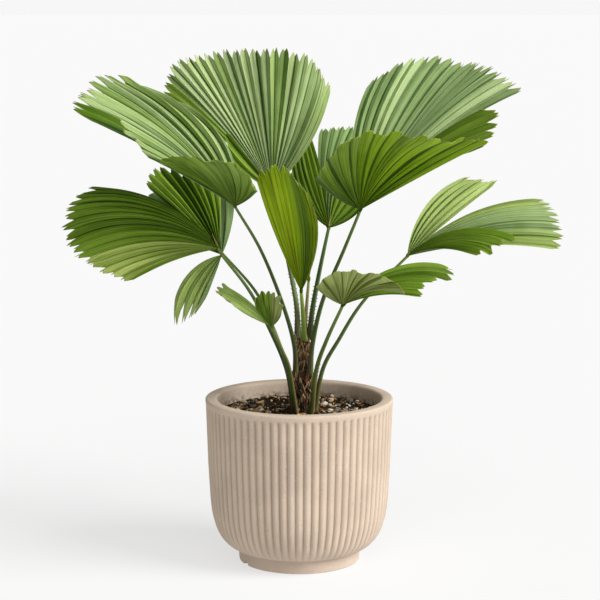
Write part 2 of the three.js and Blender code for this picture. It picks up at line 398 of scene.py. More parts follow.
def pebble_net(steps: int = 2) -> tuple[np.ndarray, np.ndarray]:
    """A ball made of a cube's six faces, each a small grid blown out to radius 1.

    Args:
        steps: How many quads a cube edge has.

    Returns:
        Its points and its quads.
    """
    ticks = np.linspace(-1.0, 1.0, steps + 1)
    a, b = np.meshgrid(ticks, ticks, indexing="ij")
    one = np.ones_like(a)
    sides = []
    for axis in range(3):
        for sign in (1.0, -1.0):
            layers = [np.empty_like(a)] * 3
            layers[axis] = one * sign
            layers[(axis + 1) % 3] = a * sign
            layers[(axis + 2) % 3] = b
            sides.append(np.stack(layers, axis=-1).reshape(-1, 3))
    points = np.vstack(sides)
    quads = np.vstack([grid_faces(steps + 1, steps + 1) + k * len(sides[0]) for k in range(6)])
    _, keep, merged = np.unique(
        np.round(points, 4), axis=0, return_index=True, return_inverse=True,
    )
    return unit(points[keep]), merged.reshape(-1)[quads]


def around(count: int) -> np.ndarray:
    """Angles evenly round a turn, as a column."""
    return np.linspace(0.0, 2.0 * math.pi, count, endpoint=False)[:, None]


def chances(rng: np.random.Generator, count: int, relief: bool = False) -> np.ndarray:
    """A trait for each of many bits: its own chance, a spare 0, and a second chance or 0.

    Args:
        rng: Where the chance comes from.
        count: How many bits.
        relief: Whether there is a second chance.

    Returns:
        (count, 3).
    """
    first = rng.random(count)
    none = np.zeros(count)
    return together(first, none, rng.random(count) if relief else none)


def turns(rng: np.random.Generator, count: int) -> np.ndarray:
    """Random rotation matrices: three random directions made square by two cross products.

    Args:
        rng: Where the chance comes from.
        count: How many.

    Returns:
        (count, 3, 3).
    """
    first = unit(rng.normal(size=(count, 3)))
    second = unit(np.cross(first, rng.normal(size=(count, 3))))
    return np.stack([first, second, np.cross(first, second)], axis=1)


# ---------------------------------------------------------------- shaders


class Signal:
    """A shader socket in an expression: each operator adds one Math node."""

    def __init__(self, shader: "Shader", socket: bpy.types.NodeSocket) -> None:
        """Wraps a socket of the shader's tree."""
        self.shader = shader
        self.socket = socket

    def _with(self, operation: str, *values: Any) -> "Signal":
        """The Math node of an operation on these values."""
        inputs = dict(enumerate(values))
        return self.shader.signal("ShaderNodeMath", {"operation": operation}, inputs)

    def __add__(self, other: Any) -> "Signal":
        """self + other, and other + self"""
        return self._with("ADD", self, other)

    __radd__ = __add__

    def __sub__(self, other: Any) -> "Signal":
        """self - other"""
        return self._with("SUBTRACT", self, other)

    def __rsub__(self, other: Any) -> "Signal":
        """other - self"""
        return self._with("SUBTRACT", other, self)

    def __mul__(self, other: Any) -> "Signal":
        """self * other, and other * self"""
        return self._with("MULTIPLY", self, other)

    __rmul__ = __mul__

    def fraction(self) -> "Signal":
        """What is left of self above its whole number."""
        return self._with("FRACT", self)

    def size(self) -> "Signal":
        """self without its sign."""
        return self._with("ABSOLUTE", self)

    def sine(self) -> "Signal":
        """The sine of self."""
        return self._with("SINE", self)

    def between(self, low: float, high: float) -> "Signal":
        """A smooth step: 0 where self is below low, 1 above high.

        Args:
            low: Where the step starts.
            high: Where it ends.

        Returns:
            The step.
        """
        return self.shader.signal(
            "ShaderNodeMapRange",
            {"interpolation_type": "SMOOTHSTEP"},
            {"Value": self, "From Min": low, "From Max": high},
        )


class Shader:
    """A material under construction: a Principled shader and what feeds it."""

    def __init__(self, name: str, constants: dict[str, Any]) -> None:
        """Starts a material and sets what is the same all over it.

        Args:
            name: The material's name.
            constants: A value for each socket of the Principled shader, by its name.
        """
        self.material = bpy.data.materials.new(name)
        self.material.use_nodes = True
        self.tree = self.material.node_tree
        self.principled = self.tree.nodes["Principled BSDF"]
        for key, value in constants.items():
            self.principled.inputs[key].default_value = value

    def node(self, kind: str, settings: dict[str, Any], inputs: dict[Any, Any]) -> bpy.types.Node:
        """Adds a node.

        Args:
            kind: Its type.
            settings: Its properties, which are set first.
            inputs: A value, socket or Signal for each socket, by its number, name or identifier.

        Returns:
            The node.
        """
        node = self.tree.nodes.new(kind)
        for key, value in settings.items():
            setattr(node, key, value)
        for key, value in inputs.items():
            found = [
                socket for number, socket in enumerate(node.inputs)
                if key in (number, socket.identifier, socket.name) and socket.enabled
            ]
            self.feed(found[0], value)
        return node

    def feed(self, socket: bpy.types.NodeSocket, value: Any) -> None:
        """Links a socket or Signal to a socket, or sets its value.

        Args:
            socket: What is fed.
            value: A Signal, a socket or a plain value.
        """
        if isinstance(value, Signal):
            value = value.socket
        if isinstance(value, bpy.types.NodeSocket):
            self.tree.links.new(value, socket)
        else:
            socket.default_value = value

    def signal(
        self, kind: str, settings: dict[str, Any], inputs: dict[Any, Any], output: Any = 0,
    ) -> Signal:
        """Adds a node and returns one of its outputs as a Signal."""
        node = self.node(kind, settings, inputs)
        return Signal(self, node.outputs[output])

    def object_place(self) -> bpy.types.NodeSocket:
        """Where a point is on its object, in metres."""
        return self.node("ShaderNodeTexCoord", {}, {}).outputs["Object"]

    def scaled(self, place: Any, scale: tuple[float, float, float]) -> bpy.types.NodeSocket:
        """A vector with each coordinate multiplied by its own factor."""
        return self.node("ShaderNodeMapping", {}, {"Vector": place, "Scale": scale}).outputs[0]

    def stretched(self, scale: tuple[float, float, float]) -> bpy.types.NodeSocket:
        """The object's coordinates, each multiplied by its own factor."""
        return self.scaled(self.object_place(), scale)

    def grain(self, vector: Any, scale: float, detail: float = 2.0) -> Signal:
        """Noise between 0 and 1 on a vector.

        Args:
            vector: Where it is read.
            scale: How fine it is.
            detail: How many finer layers it has.

        Returns:
            The noise.
        """
        return self.signal(
            "ShaderNodeTexNoise", {}, {"Vector": vector, "Scale": scale, "Detail": detail}, "Fac",
        )

    def parts(self, name: str) -> tuple[Signal, Signal, Signal]:
        """The three numbers of a point attribute.

        Args:
            name: The attribute's name.

        Returns:
            Its first, second and third number.
        """
        vector = self.node("ShaderNodeAttribute", {"attribute_name": name}, {}).outputs["Vector"]
        node = self.node("ShaderNodeSeparateXYZ", {}, {"Vector": vector})
        return tuple(Signal(self, output) for output in node.outputs)

    def mixed(self, first: Any, *layers: tuple[Any, Any]) -> Any:
        """A colour with others laid over it in turn, each a pair of its share and the colour.

        Args:
            first: The colour below them all.
            layers: Pairs of a share from 0 to 1 and a colour.

        Returns:
            The socket of the last mix, or the first colour where there are no layers.
        """
        colour = first
        for share, over in layers:
            node = self.node(
                "ShaderNodeMix",
                {"data_type": "RGBA"},
                {"Factor_Float": share, "A_Color": colour, "B_Color": over},
            )
            colour = node.outputs[2]
        return colour

    def bump(self, height: Any, distance: float, strength: float = 1.0) -> None:
        """Feeds a height to the Principled shader's Normal through a Bump node.

        Args:
            height: What stands out, from 0 to 1.
            distance: How far a height of 1 stands out, in metres.
            strength: How much of it is used.
        """
        node = self.node(
            "ShaderNodeBump", {}, {"Height": height, "Distance": distance, "Strength": strength},
        )
        self.feed(self.principled.inputs["Normal"], node.outputs[0])

    def finish(self, colour: Any, roughness: Any) -> bpy.types.Material:
        """Feeds the colour and the roughness, and returns the material.

        Args:
            colour: The base colour.
            roughness: The roughness.

        Returns:
            The material.
        """
        self.feed(self.principled.inputs["Base Color"], colour)
        self.feed(self.principled.inputs["Roughness"], roughness)
        return self.material


@dataclass(frozen=True)
class LeafFinish:
    """A leaflet's skin: its green, a wedge of painted shade and a band of painted light in each
    fold, veins, margin.
    """

    name: str
    colour: Row
    # light is painted light on the folds, dark is painted shade in them and also the colour of
    # the darker streaks and veins
    light: Row
    dark: Row
    margin: Row = (158, 148, 78)
    cloud: float = 0.20
    tip: float = 0.10
    # band, hub, wedge and valley set how strong the painted light and painted shade are, and
    # crest a pale line that is partly painted highlight; cloud, patch, streak and vein are random
    # marks
    highlight_band: float = 0.55
    patch: float = 0.38
    hub: float = 0.38
    shade_wedge: float = 0.97
    valley_shade: float = 0.70
    streak: float = 0.40
    crest: float = 0.30
    vein: float = 0.10
    rim: float = 0.28
    veins: int = 9
    roughness: float = 0.41

    def material(self) -> bpy.types.Material:
        """The wedge of painted shade and the band of painted light are smooth steps of the place
        across a fold.

        A fold is deepest half way across: the band, painted light, lies before that, on the slope
        turned to the light, and the wedge, painted shade, after it, on the slope turned away.
        Each leaflet's own chances set how wide and how strong they are, and the wedge narrows
        towards the tip. Painted shade also darkens the valleys and the leaf towards the hub, and
        the crests get a pale line that is partly painted highlight. Noise drawn out along the
        leaflets gives the fine streaks, and a broad noise makes groups of them darker.

        Returns:
            The material.
        """
        shader = Shader(self.name, {"Specular IOR Level": 0.06})
        place = shader.node("ShaderNodeUVMap", {"uv_map": "uv"}, {}).outputs[0]
        split = shader.node("ShaderNodeSeparateXYZ", {}, {"Vector": place})
        across = Signal(shader, split.outputs[0])
        along = Signal(shader, split.outputs[1])
        width, strength, gloss = shader.parts("trait")
        s = across.fraction()
        off_valley = (s - 0.5).size() * 2.0
        streak = shader.grain(shader.scaled(place, (8.0, 1.3, 1.0)), 1.0, 3.0)
        group = shader.grain(shader.scaled(place, (0.42, 0.9, 1.0)), 1.0, 1.0)
        cloud = shader.grain(shader.object_place(), 30.0, 3.0)
        reach = (width * width * 0.52 + 0.09) * (1.20 - along * 0.85)
        past = s - 0.48
        ragged = (past - reach) * 8.0 + streak * 0.8
        # painted shade: a wedge on the slope of each fold turned from the light
        shade_wedge = past.between(0.0, 0.04) * (1.0 - ragged.between(0.0, 1.0))
        before = 0.5 - s
        faded = (before - 0.18 - strength * 0.24) * 9.0
        # painted light: a band on the slope of each fold turned to the light
        highlight_band = before.between(0.0, 0.08) * (1.0 - faded.between(0.0, 1.0))
        # painted shade in each fold's valley, fading out half way to the tip
        valley_shade = (1.0 - off_valley.between(0.04, 0.34)) * (1.0 - along.between(0.0, 0.55))
        # a pale line along each crest, partly the leaflet's own edge and partly painted highlight
        crest = off_valley.between(0.90, 0.98)
        vein = (across * (2.0 * math.pi * self.veins)).sine()
        light = linear(*self.light)
        dark = linear(*self.dark)
        colour = shader.mixed(
            linear(*self.colour),
            (cloud.between(0.3, 0.7) * self.cloud, light),
            (along.between(0.45, 1.0) * self.tip, light),
            # painted light on the slope of each fold turned to the light
            (highlight_band * (streak * 0.5 + strength * 0.5) * self.highlight_band, light),
            (group.between(0.46, 0.66) * self.patch, dark),
            # painted shade towards the hub, where the folds are deepest
            ((1.0 - along.between(0.0, 0.5)) * self.hub, dark),
            # painted shade on the slope of each fold turned from the light
            (shade_wedge * (strength * 0.30 + 0.70) * self.shade_wedge, dark),
            # painted shade in the valleys near the hub
            (valley_shade * self.valley_shade, dark),
            (streak.between(0.50, 0.68) * self.streak, dark),
            ((1.0 - streak.between(0.34, 0.48)) * self.streak, light),
            # pale crest line, partly painted highlight
            (crest * self.crest, light),
            ((vein * 0.5 + 0.5) * self.vein, dark),
            (along.between(0.98, 1.0) * self.rim, linear(*self.margin)),
        )
        shader.bump(vein * 0.30 + crest * 0.7 + streak * 0.5, 0.0004, 0.55)
        return shader.finish(colour, cloud * 0.14 + gloss * 0.08 + self.roughness)


@dataclass(frozen=True)
class StalkFinish:
    """A stalk's skin: from its foot's colour to its green, with fine lengthwise fibres."""

    name: str
    foot: Row
    body: Row
    tip: Row
    edge: Row
    fibre: Row = (28, 34, 16)
    thorn: Row = (96, 74, 40)

    def material(self) -> bpy.types.Material:
        """trait holds the share of the length, the side (1 is right) and 1 on a thorn. The right
        side takes the edge colour: partly a paler margin, partly painted light from the
        right-hand lamp.

        Returns:
            The material.
        """
        shader = Shader(self.name, {"Specular IOR Level": 0.22})
        along, right, thorn = shader.parts("trait")
        fibres = shader.grain(shader.stretched((1.0, 1.0, 0.06)), 900.0, 2.0)
        cloud = shader.grain(shader.object_place(), 60.0, 3.0)
        colour = shader.mixed(
            linear(*self.foot),
            ((along + cloud * 0.12 - 0.06).between(0.05, 0.30), linear(*self.body)),
            (along.between(0.55, 1.0), linear(*self.tip)),
            # the right-hand side: a paler margin colour, partly painted light from the right-hand
            # lamp
            (right.between(0.55, 0.95) * 0.55, linear(*self.edge)),
            (fibres.between(0.35, 0.75) * 0.25, linear(*self.fibre)),
            (thorn * 0.75, linear(*self.thorn)),
        )
        shader.bump(fibres, 0.0003, 0.5)
        return shader.finish(colour, cloud * 0.2 + 0.36)


@dataclass(frozen=True)
class FibreFinish:
    """Bark and fibre: two browns, mixed by long streaks and by a strand's own chance."""

    name: str
    dark: Row
    light: Row
    roughness: float = 0.85

    def material(self) -> bpy.types.Material:
        """trait holds a chance, a spare number and relief, which lightens what stands out.

        Returns:
            The material.
        """
        shader = Shader(self.name, {"Specular IOR Level": 0.35})
        chance, _, relief = shader.parts("trait")
        streak = shader.grain(shader.stretched((1.0, 1.0, 0.12)), 420.0, 3.0)
        speck = shader.grain(shader.object_place(), 700.0, 2.0)
        share = (streak * 0.6 + chance * 0.5 + relief * 0.5 - 0.25).between(0.05, 0.85)
        colour = shader.mixed(linear(*self.dark), (share, linear(*self.light)))
        shader.bump(streak + speck * 0.5, 0.0006, 0.8)
        return shader.finish(colour, speck * 0.1 + (self.roughness - 0.05))


@dataclass(frozen=True)
class StonewareFinish:
    """Matt sand-coloured stoneware: fine grain, soft clouds and small specks."""

    name: str = "sand_stoneware"
    colour: Row = (196, 178, 160)
    grain: Row = (172, 150, 128)
    # groove is the painted shade colour of the grooves and the notch
    groove: Row = (150, 130, 110)
    speck: Row = (232, 222, 206)
    pit: Row = (128, 108, 88)
    # stain colours the inner wall's real stain and also paints shade into the notch
    stain: Row = (104, 82, 60)
    lift: float = 1.07
    drop: float = 0.93

    def material(self) -> bpy.types.Material:
        """trait holds how deep in a groove or in the notch a point is, which paints shade there,
        how stained the inner wall is, plus the notch's painted shade, and a spare number.

        Returns:
            The material.
        """
        shader = Shader(self.name, {"Specular IOR Level": 0.28})
        groove, stain, _ = shader.parts("trait")
        place = shader.object_place()
        cloud = shader.grain(place, 14.0, 4.0)
        grain = shader.grain(place, 950.0, 3.0)
        specks = shader.grain(place, 420.0, 1.0).between(0.66, 0.74)
        pits = shader.grain(place, 300.0, 1.0).between(0.70, 0.76)
        blot = shader.grain(place, 120.0, 4.0).between(0.42, 0.62)
        base = linear(*self.colour)
        pale, dusk = (
            tuple(factor * value for value in base[:3]) + (1.0,)
            for factor in (self.lift, self.drop)
        )
        colour = shader.mixed(
            dusk,
            (cloud.between(0.35, 0.65), pale),
            (grain.between(0.3, 0.7) * 0.22, linear(*self.grain)),
            # painted shade in the grooves and the notch
            (groove * 0.55, linear(*self.groove)),
            (specks * 0.35, linear(*self.speck)),
            (pits * 0.35, linear(*self.pit)),
            # real stain on the inner wall, and painted shade in the notch
            (stain * blot * 0.85, linear(*self.stain)),
        )
        shader.bump(grain * 0.6 + cloud * 0.2 - pits * 0.5, 0.0005, 0.55)
        return shader.finish(colour, grain * 0.12 + 0.78)


@dataclass(frozen=True)
class EarthFinish:
    """Rough matter without a skin, such as soil or pumice: two colours and a grain."""

    name: str
    dark: Row
    light: Row
    grain: float = 260.0
    roughness: float = 0.95
    relief: float = 0.0008

    def material(self) -> bpy.types.Material:
        """Clumps and fine grain choose between the two colours, and each lump's own chance.

        Returns:
            The material.
        """
        shader = Shader(self.name, {"Specular IOR Level": 0.1})
        chance, _, _ = shader.parts("trait")
        place = shader.object_place()
        clump = shader.grain(place, self.grain, 4.0)
        fine = shader.grain(place, self.grain * 5.0, 2.0)
        share = (clump * 0.7 + fine * 0.3 + chance * 0.35 - 0.15).between(0.15, 0.85)
        colour = shader.mixed(linear(*self.dark), (share, linear(*self.light)))
        shader.bump(clump + fine * 0.4, self.relief, 0.9)
        return shader.finish(colour, fine * 0.08 + (self.roughness - 0.05))


def put(
    name: str, shape: Shape, materials: Sequence[bpy.types.Material], slot: str,
    replaces: Sequence[str] = (),
) -> None:
    """Makes a piece of a shape, with its place in its mesh, and hands it to the frame.

    Args:
        name: The piece's name.
        shape: Its points and faces.
        materials: What Shape.finish picks from.
        slot: The record's material slot that it belongs to. It is not used.
        replaces: CAD nodes that it stands for.
    """
    mesh = bpy.data.meshes.new(name)
    corners = shape.faces[shape.faces >= 0]
    sizes = np.where(shape.faces[:, 3] < 0, 3, 4)
    mesh.vertices.add(len(shape.points))
    mesh.vertices.foreach_set("co", (shape.points * MM).astype(np.float32).ravel())
    mesh.loops.add(len(corners))
    mesh.loops.foreach_set("vertex_index", corners.astype(np.int32))
    mesh.polygons.add(len(shape.faces))
    mesh.polygons.foreach_set("loop_start", (np.cumsum(sizes) - sizes).astype(np.int32))
    mesh.update(calc_edges=True)
    mesh.polygons.foreach_set("material_index", shape.finish.astype(np.int32))
    mesh.polygons.foreach_set("use_smooth", np.full(len(shape.faces), True))
    layer = mesh.uv_layers.new(name="uv")
    layer.data.foreach_set("uv", shape.uv[corners].astype(np.float32).ravel())
    trait = mesh.attributes.new("trait", "FLOAT_VECTOR", "POINT")
    trait.data.foreach_set("vector", shape.trait.astype(np.float32).ravel())
    for material in materials:
        mesh.materials.append(material)
    mesh.update()
    piece = bpy.data.objects.new(name, mesh)
    bpy.context.scene.collection.objects.link(piece)
    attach(piece, BODY)
    if replaces:
        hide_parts(*replaces)
    LOG.info("%s: %d triangles", name, int((sizes - 2).sum()))


# ---------------------------------------------------------------- pot and soil


@dataclass
class Pot:
    """The stoneware pot: a turned wall with rounded ribs, a plain rim and a low foot."""

    flutes: int = 72
    depth: float = 3.0
    rib_power: float = 2.2
    shallow_below: Row = (22.0, 60.0)
    shallow: float = 0.4
    ends_at_top: Row = (251.0, 257.0)
    ends_at_foot: Row = (21.0, 26.0)
    outline: tuple[Row, ...] = (
        (99, 22), (111, 25.5), (122.5, 35), (132.6, 51), (140, 76), (143.2, 103), (146.4, 160),
        (149.4, 253),
    )
    rim: tuple[Row, ...] = (
        (149.6, 255), (149.9, 258), (150.2, 261.2), (150, 262.7), (149.2, 264), (147.7, 264.8),
        (145.5, 265), (141, 265.1), (137, 265), (134.2, 264.6), (132.3, 263.6), (131.2, 261.8),
        (130.6, 259), (129.9, 250), (129.4, 244), (129, 238), (128.4, 225), (127, 180),
        (124.5, 90), (119, 52), (106, 30), (84, 20),
    )
    foot: tuple[Row, ...] = (
        (95.4, 0), (96.3, 0.3), (96.8, 1.2), (96.9, 2), (97, 3), (97.1, 4), (97.2, 5), (97.3, 6),
        (97.4, 7), (97.7, 10), (98, 14), (98.4, 18), (98.8, 21),
    )
    columns_of_rib: tuple[float, ...] = (
        -0.5, -0.46, -0.40, -0.30, -0.16, 0.0, 0.16, 0.30, 0.40, 0.46,
    )
    notch_turn: float = -62.0
    notch_width: float = 16.0
    notch_height: float = 6.0
    notch_depth: float = 7.0
    notch_edge: Row = (0.85, 1.1)
    foot_top: float = 10.0
    foot_inside: float = 90.0
    side_rows: Row = (34, 41)
    bare_rows: int = 10
    stain_above: Row = (240.0, 254.0)

    def side(self) -> np.ndarray:
        """The bellied side's profile: a smooth run through its outline, then straight ones.

        Returns:
            Radius and height of each row, from the foot up.
        """
        rows = np.array(self.outline)
        bent = len(rows) - 3
        low = catmull(rows[:-2], np.linspace(0.0, 1.0, self.side_rows[0]))
        share = np.linspace(0.0, 2.0, self.side_rows[1])[1:]
        high = np.stack([np.interp(share, range(3), rows[bent:, k]) for k in range(2)], axis=-1)
        return np.vstack([low, high])

    def build(self) -> None:
        """The wall is a ring of columns, and a rib falls off from its crown as |x|^2.2.

        A notch is an ellipse on the foot's outside. The grooves and the notch are darkened with
        painted shade, and the inner wall is stained.
        """
        side = self.side()
        profile = np.vstack([self.foot, side, self.rim])
        radius, height = profile[:, 0], profile[:, 1]
        row = np.arange(len(profile)) - len(self.foot) - len(side)
        ribs = (np.arange(self.flutes)[:, None] + np.array(self.columns_of_rib)).ravel()
        angle = ribs * 2.0 * math.pi / self.flutes
        across = np.tile(np.array(self.columns_of_rib), self.flutes) * 2.0
        groove = (np.abs(across) ** self.rib_power)[:, None]
        cut = lerp(self.shallow, 1.0, smooth(*self.shallow_below, height))
        cut = cut * (1.0 - smooth(*self.ends_at_top, height))
        cut = cut * smooth(*self.ends_at_foot, height) * (row < 0)
        inward = groove * cut * self.depth
        heading = np.radians(self.notch_turn - 90.0)
        # painted shade that darkens the notch, through both the groove and the stain colours
        notch_shade = np.zeros_like(inward)
        for turn in (heading, heading + math.pi):
            away = (angle - turn + math.pi) % (2.0 * math.pi) - math.pi
            reach = (away[:, None] * radius * 2.0 / self.notch_width) ** 2
            reach = reach + (height / self.notch_height) ** 2
            at_foot = (height < self.foot_top) & (radius > self.foot_inside)
            notch = (1.0 - smooth(*self.notch_edge, reach)) * at_foot
            inward = inward + self.notch_depth * notch
            notch_shade = notch_shade + notch
        far = radius - inward
        points = wheel(far, angle[:, None], height)
        stain = (row >= self.bare_rows) * (1.0 - smooth(*self.stain_above, height))
        # painted shade: grooves and the notch take the darker groove colour
        deep = np.clip(groove * cut + notch_shade, 0.0, 1.0)
        trait = together(deep, np.clip(stain + notch_shade, 0.0, 1.0), np.zeros_like(far))
        put("pot_wall", turned(points, trait), [StonewareFinish().material()], "pot", ["pot"])


@dataclass(frozen=True)
class Grit:
    """A sort of grain on the soil.

    It holds how many there are, their least and greatest radius, their height as a share of
    their width, how deep they sit as a share of their radius, and the shares of the finishes.
    """

    count: int
    low: float
    high: float
    flat: float
    bury: float
    shares: tuple[float, ...]


@dataclass
class Soil:
    """The soil in the pot, its pumice, bark and stones."""

    edge: float = 127.9
    floor: float = 20.3
    floor_radius: float = 84.0
    skin: tuple[Row, ...] = (
        (127.6, 222), (126.4, 180), (123.9, 90.3), (118.4, 52.3), (105.4, 30.3),
    )
    rings: int = 84
    columns: int = 220
    clods: tuple[Row, ...] = ((2.4, 26.0, 1), (2.2, 9.0, 2), (1.0, 3.4, 3))
    level_from: Row = (131.0, 120.0)
    level: float = 0.5
    clod_share: float = 0.9
    rise: float = 5.0
    rise_ends: Row = (8.0, 46.0)
    grits: tuple[Grit, ...] = (
        Grit(1500, 0.8, 2.4, 0.8, 0.25, (0.05, 0.18, 0.17, 0.60)),
        Grit(380, 2.4, 6.6, 0.66, 0.3, (0.19, 0.27, 0.26, 0.28)),
    )
    grit_size_power: float = 2.2
    grit_narrowest: float = 0.62
    grit_lumps: float = 0.22
    grit_margin: float = 2.0
    chip: Grit = Grit(240, 3.6, 10.0, 0.16, 0.0, (0.60, 0.35, 0.05))
    chip_size_power: float = 1.6
    chip_width: float = 0.42
    chip_lumps: float = 0.12
    chip_margin: float = 4.0
    chip_bend: float = 0.012
    chip_pitch: float = 0.28
    chip_lift: float = 1.6
    seed: int = 11

    def top(self, x: np.ndarray, y: np.ndarray) -> np.ndarray:
        """The height of the soil: clods by noise on three scales, and a low rise at the stem.

        Args:
            x: Places to the right.
            y: Places to the back.

        Returns:
            A height for each place.
        """
        place = together(x, y, np.zeros_like(x))
        clods = sum(height * noise(place, size, seed) for height, size, seed in self.clods)
        rise = self.rise * (1.0 - smooth(*self.rise_ends, np.hypot(x - STEM_X, y)))
        clods = clods * smooth(*self.level_from, np.hypot(x, y)) * self.clod_share
        return SOIL_Z + self.level + clods + rise

    def body(self) -> Shape:
        """Rings from the middle out, then down the skin to the floor.

        Returns:
            The closed body.
        """
        radius = self.edge * np.linspace(1.0 / self.rings, 1.0, self.rings)
        angle = around(self.columns)
        x, y = radius * np.cos(angle), radius * np.sin(angle)
        upper = together(x, y, self.top(x, y))
        skin = np.array([*self.skin, (self.floor_radius, self.floor)])
        lower = wheel(skin[:, 0], angle, skin[:, 1])
        return turned(np.concatenate([upper, lower], axis=1)[:, ::-1], 0.0)

    def dropped(
        self, rng: np.random.Generator, size: np.ndarray, margin: float,
    ) -> tuple[np.ndarray, np.ndarray]:
        """Places spread evenly over the soil, each its own size and a margin off the wall.

        Args:
            rng: Where the chance comes from.
            size: The radius of each thing.
            margin: How far it stays from the wall.

        Returns:
            Their places to the right and to the back.
        """
        away = (self.edge - margin - size) * np.sqrt(rng.random(len(size)))
        angle = rng.random(len(size)) * 2.0 * math.pi
        return away * np.cos(angle), away * np.sin(angle)

    def pebbles(self, rng: np.random.Generator, grit: Grit) -> Shape:
        """Lumpy pebbles: each is a stretched ball with jittered points, turned and flattened.

        Args:
            rng: Where the chance comes from.
            grit: The sort of grain.

        Returns:
            All pebbles of the sort.
        """
        count = grit.count
        net, faces = pebble_net()
        size = lerp(grit.low, grit.high, rng.random(count) ** self.grit_size_power)
        x, y = self.dropped(rng, size, self.grit_margin)
        stretch = lerp(self.grit_narrowest, 1.0, rng.random((count, 1, 3)))
        uneven = 1.0 + self.grit_lumps * rng.normal(size=(count, len(net), 1))
        lumps = net[None] * stretch * uneven
        lumps = np.einsum("npk,nkj->npj", lumps, turns(rng, count))
        lumps = lumps * size[:, None, None] * np.array([1.0, 1.0, grit.flat])
        height = self.top(x, y) + size * grit.flat * (1.0 - 2.0 * grit.bury)
        base = together(x, y, height)
        kind = rng.choice(len(grit.shares), size=count, p=grit.shares)
        return repeated(lumps + base[:, None], faces, chances(rng, count), kind)

    def chips(self, rng: np.random.Generator) -> Shape:
        """Bark chips and dry flakes: thin bent pebbles, laid nearly flat.

        Args:
            rng: Where the chance comes from.

        Returns:
            All chips.
        """
        chip = self.chip
        count = chip.count
        net, faces = pebble_net()
        size = lerp(chip.low, chip.high, rng.random(count) ** self.chip_size_power)
        x, y = self.dropped(rng, size, self.chip_margin)
        stretch = together(size, size * self.chip_width, size * chip.flat)
        shape = net[None] * stretch[:, None]
        shape = shape * (1.0 + self.chip_lumps * rng.normal(size=(count, len(net), 1)))
        shape[..., 2] += self.chip_bend * shape[..., 0] ** 2 * rng.uniform(-1, 1, (count, 1))
        yaw = rng.random(count) * 2.0 * math.pi
        pitch = rng.normal(scale=self.chip_pitch, size=count)
        c, s, cp, sp = np.cos(yaw), np.sin(yaw), np.cos(pitch), np.sin(pitch)
        turn = np.stack([
            together(c * cp, s * cp, sp),
            together(-s, c, np.zeros(count)),
            together(-c * sp, -s * sp, cp),
        ], axis=1)
        shape = np.einsum("npk,nkj->npj", shape, turn)
        base = together(x, y, self.top(x, y) + self.chip_lift)
        kind = rng.choice(len(chip.shares), size=count, p=chip.shares)
        return repeated(shape + base[:, None], faces, chances(rng, count), kind)

    def build(self) -> None:
        """The soil's body and, as joined pieces, what lies on it."""
        rng = np.random.default_rng(self.seed)
        earth = EarthFinish("dark_soil", (12, 8, 3), (84, 64, 44), 240.0, 0.97, 0.0014)
        stones = [
            EarthFinish("pumice_white", (172, 158, 136), (226, 214, 194), 300.0),
            EarthFinish("pumice_sand", (148, 124, 92), (206, 184, 150), 300.0),
            EarthFinish("grit_grey", (84, 78, 66), (146, 138, 122), 300.0),
            EarthFinish("soil_crumb", (18, 12, 6), (82, 62, 42), 300.0),
        ]
        bark = [
            EarthFinish("bark_dark", (26, 16, 8), (90, 62, 38), 200.0),
            EarthFinish("bark_tan", (112, 80, 50), (178, 140, 98), 200.0),
            EarthFinish("flake_orange", (134, 78, 34), (196, 126, 66), 200.0),
        ]
        grit = Shape.joined([self.pebbles(rng, sort) for sort in self.grits])
        put("soil_bed", self.body(), [earth.material()], "soil", ["soil"])
        put("soil_grit", grit, [stone.material() for stone in stones], "soil")
        put("soil_chips", self.chips(rng), [chip.material() for chip in bark], "soil")


# ---------------------------------------------------------------- trunk


@dataclass(frozen=True)
class Strip:
    """A sort of loose strand: how many, their rows and sides, and how thick they are.

    A strand's radius is a chance from thin to thick times a half sine of the way along it,
    read between `ends` and raised to `power`. `shares` deals the finishes.
    """

    count: int
    rows: int
    sides: int
    thin: float
    thick: float
    ends: tuple[float, float]
    power: float
    shares: tuple[float, ...]

    def run(self) -> np.ndarray:
        """How far along a strand each of its rows is."""
        return np.linspace(0.0, 1.0, self.rows)[None, :]

    def any(self, rng: np.random.Generator, low: float = 0.0, high: float = 1.0) -> np.ndarray:
        """A chance between two numbers for each strand, as a column."""
        return rng.uniform(low, high, (self.count, 1))

    def shape(
        self, rng: np.random.Generator, x: Any, y: Any, far: Any, turn: Any, height: Any,
    ) -> Shape:
        """The strands, each row of which is a distance and a turn away from an upright line.

        Args:
            rng: Where the chance comes from.
            x: The line's place to the right.
            y: The line's place to the back.
            far: The distance, (count, rows).
            turn: The turn, (count, rows).
            height: The height, (count, rows).

        Returns:
            All strands.
        """
        paths = wheel(far, turn, height, x, y)
        swell = np.sin(math.pi * lerp(*self.ends, self.run())) ** self.power
        thick = self.any(rng, self.thin, self.thick) * swell
        trait = chances(rng, self.count, relief=True)
        kind = rng.choice(len(self.shares), size=self.count, p=self.shares)
        return strands(paths, thick, self.sides, trait, kind)


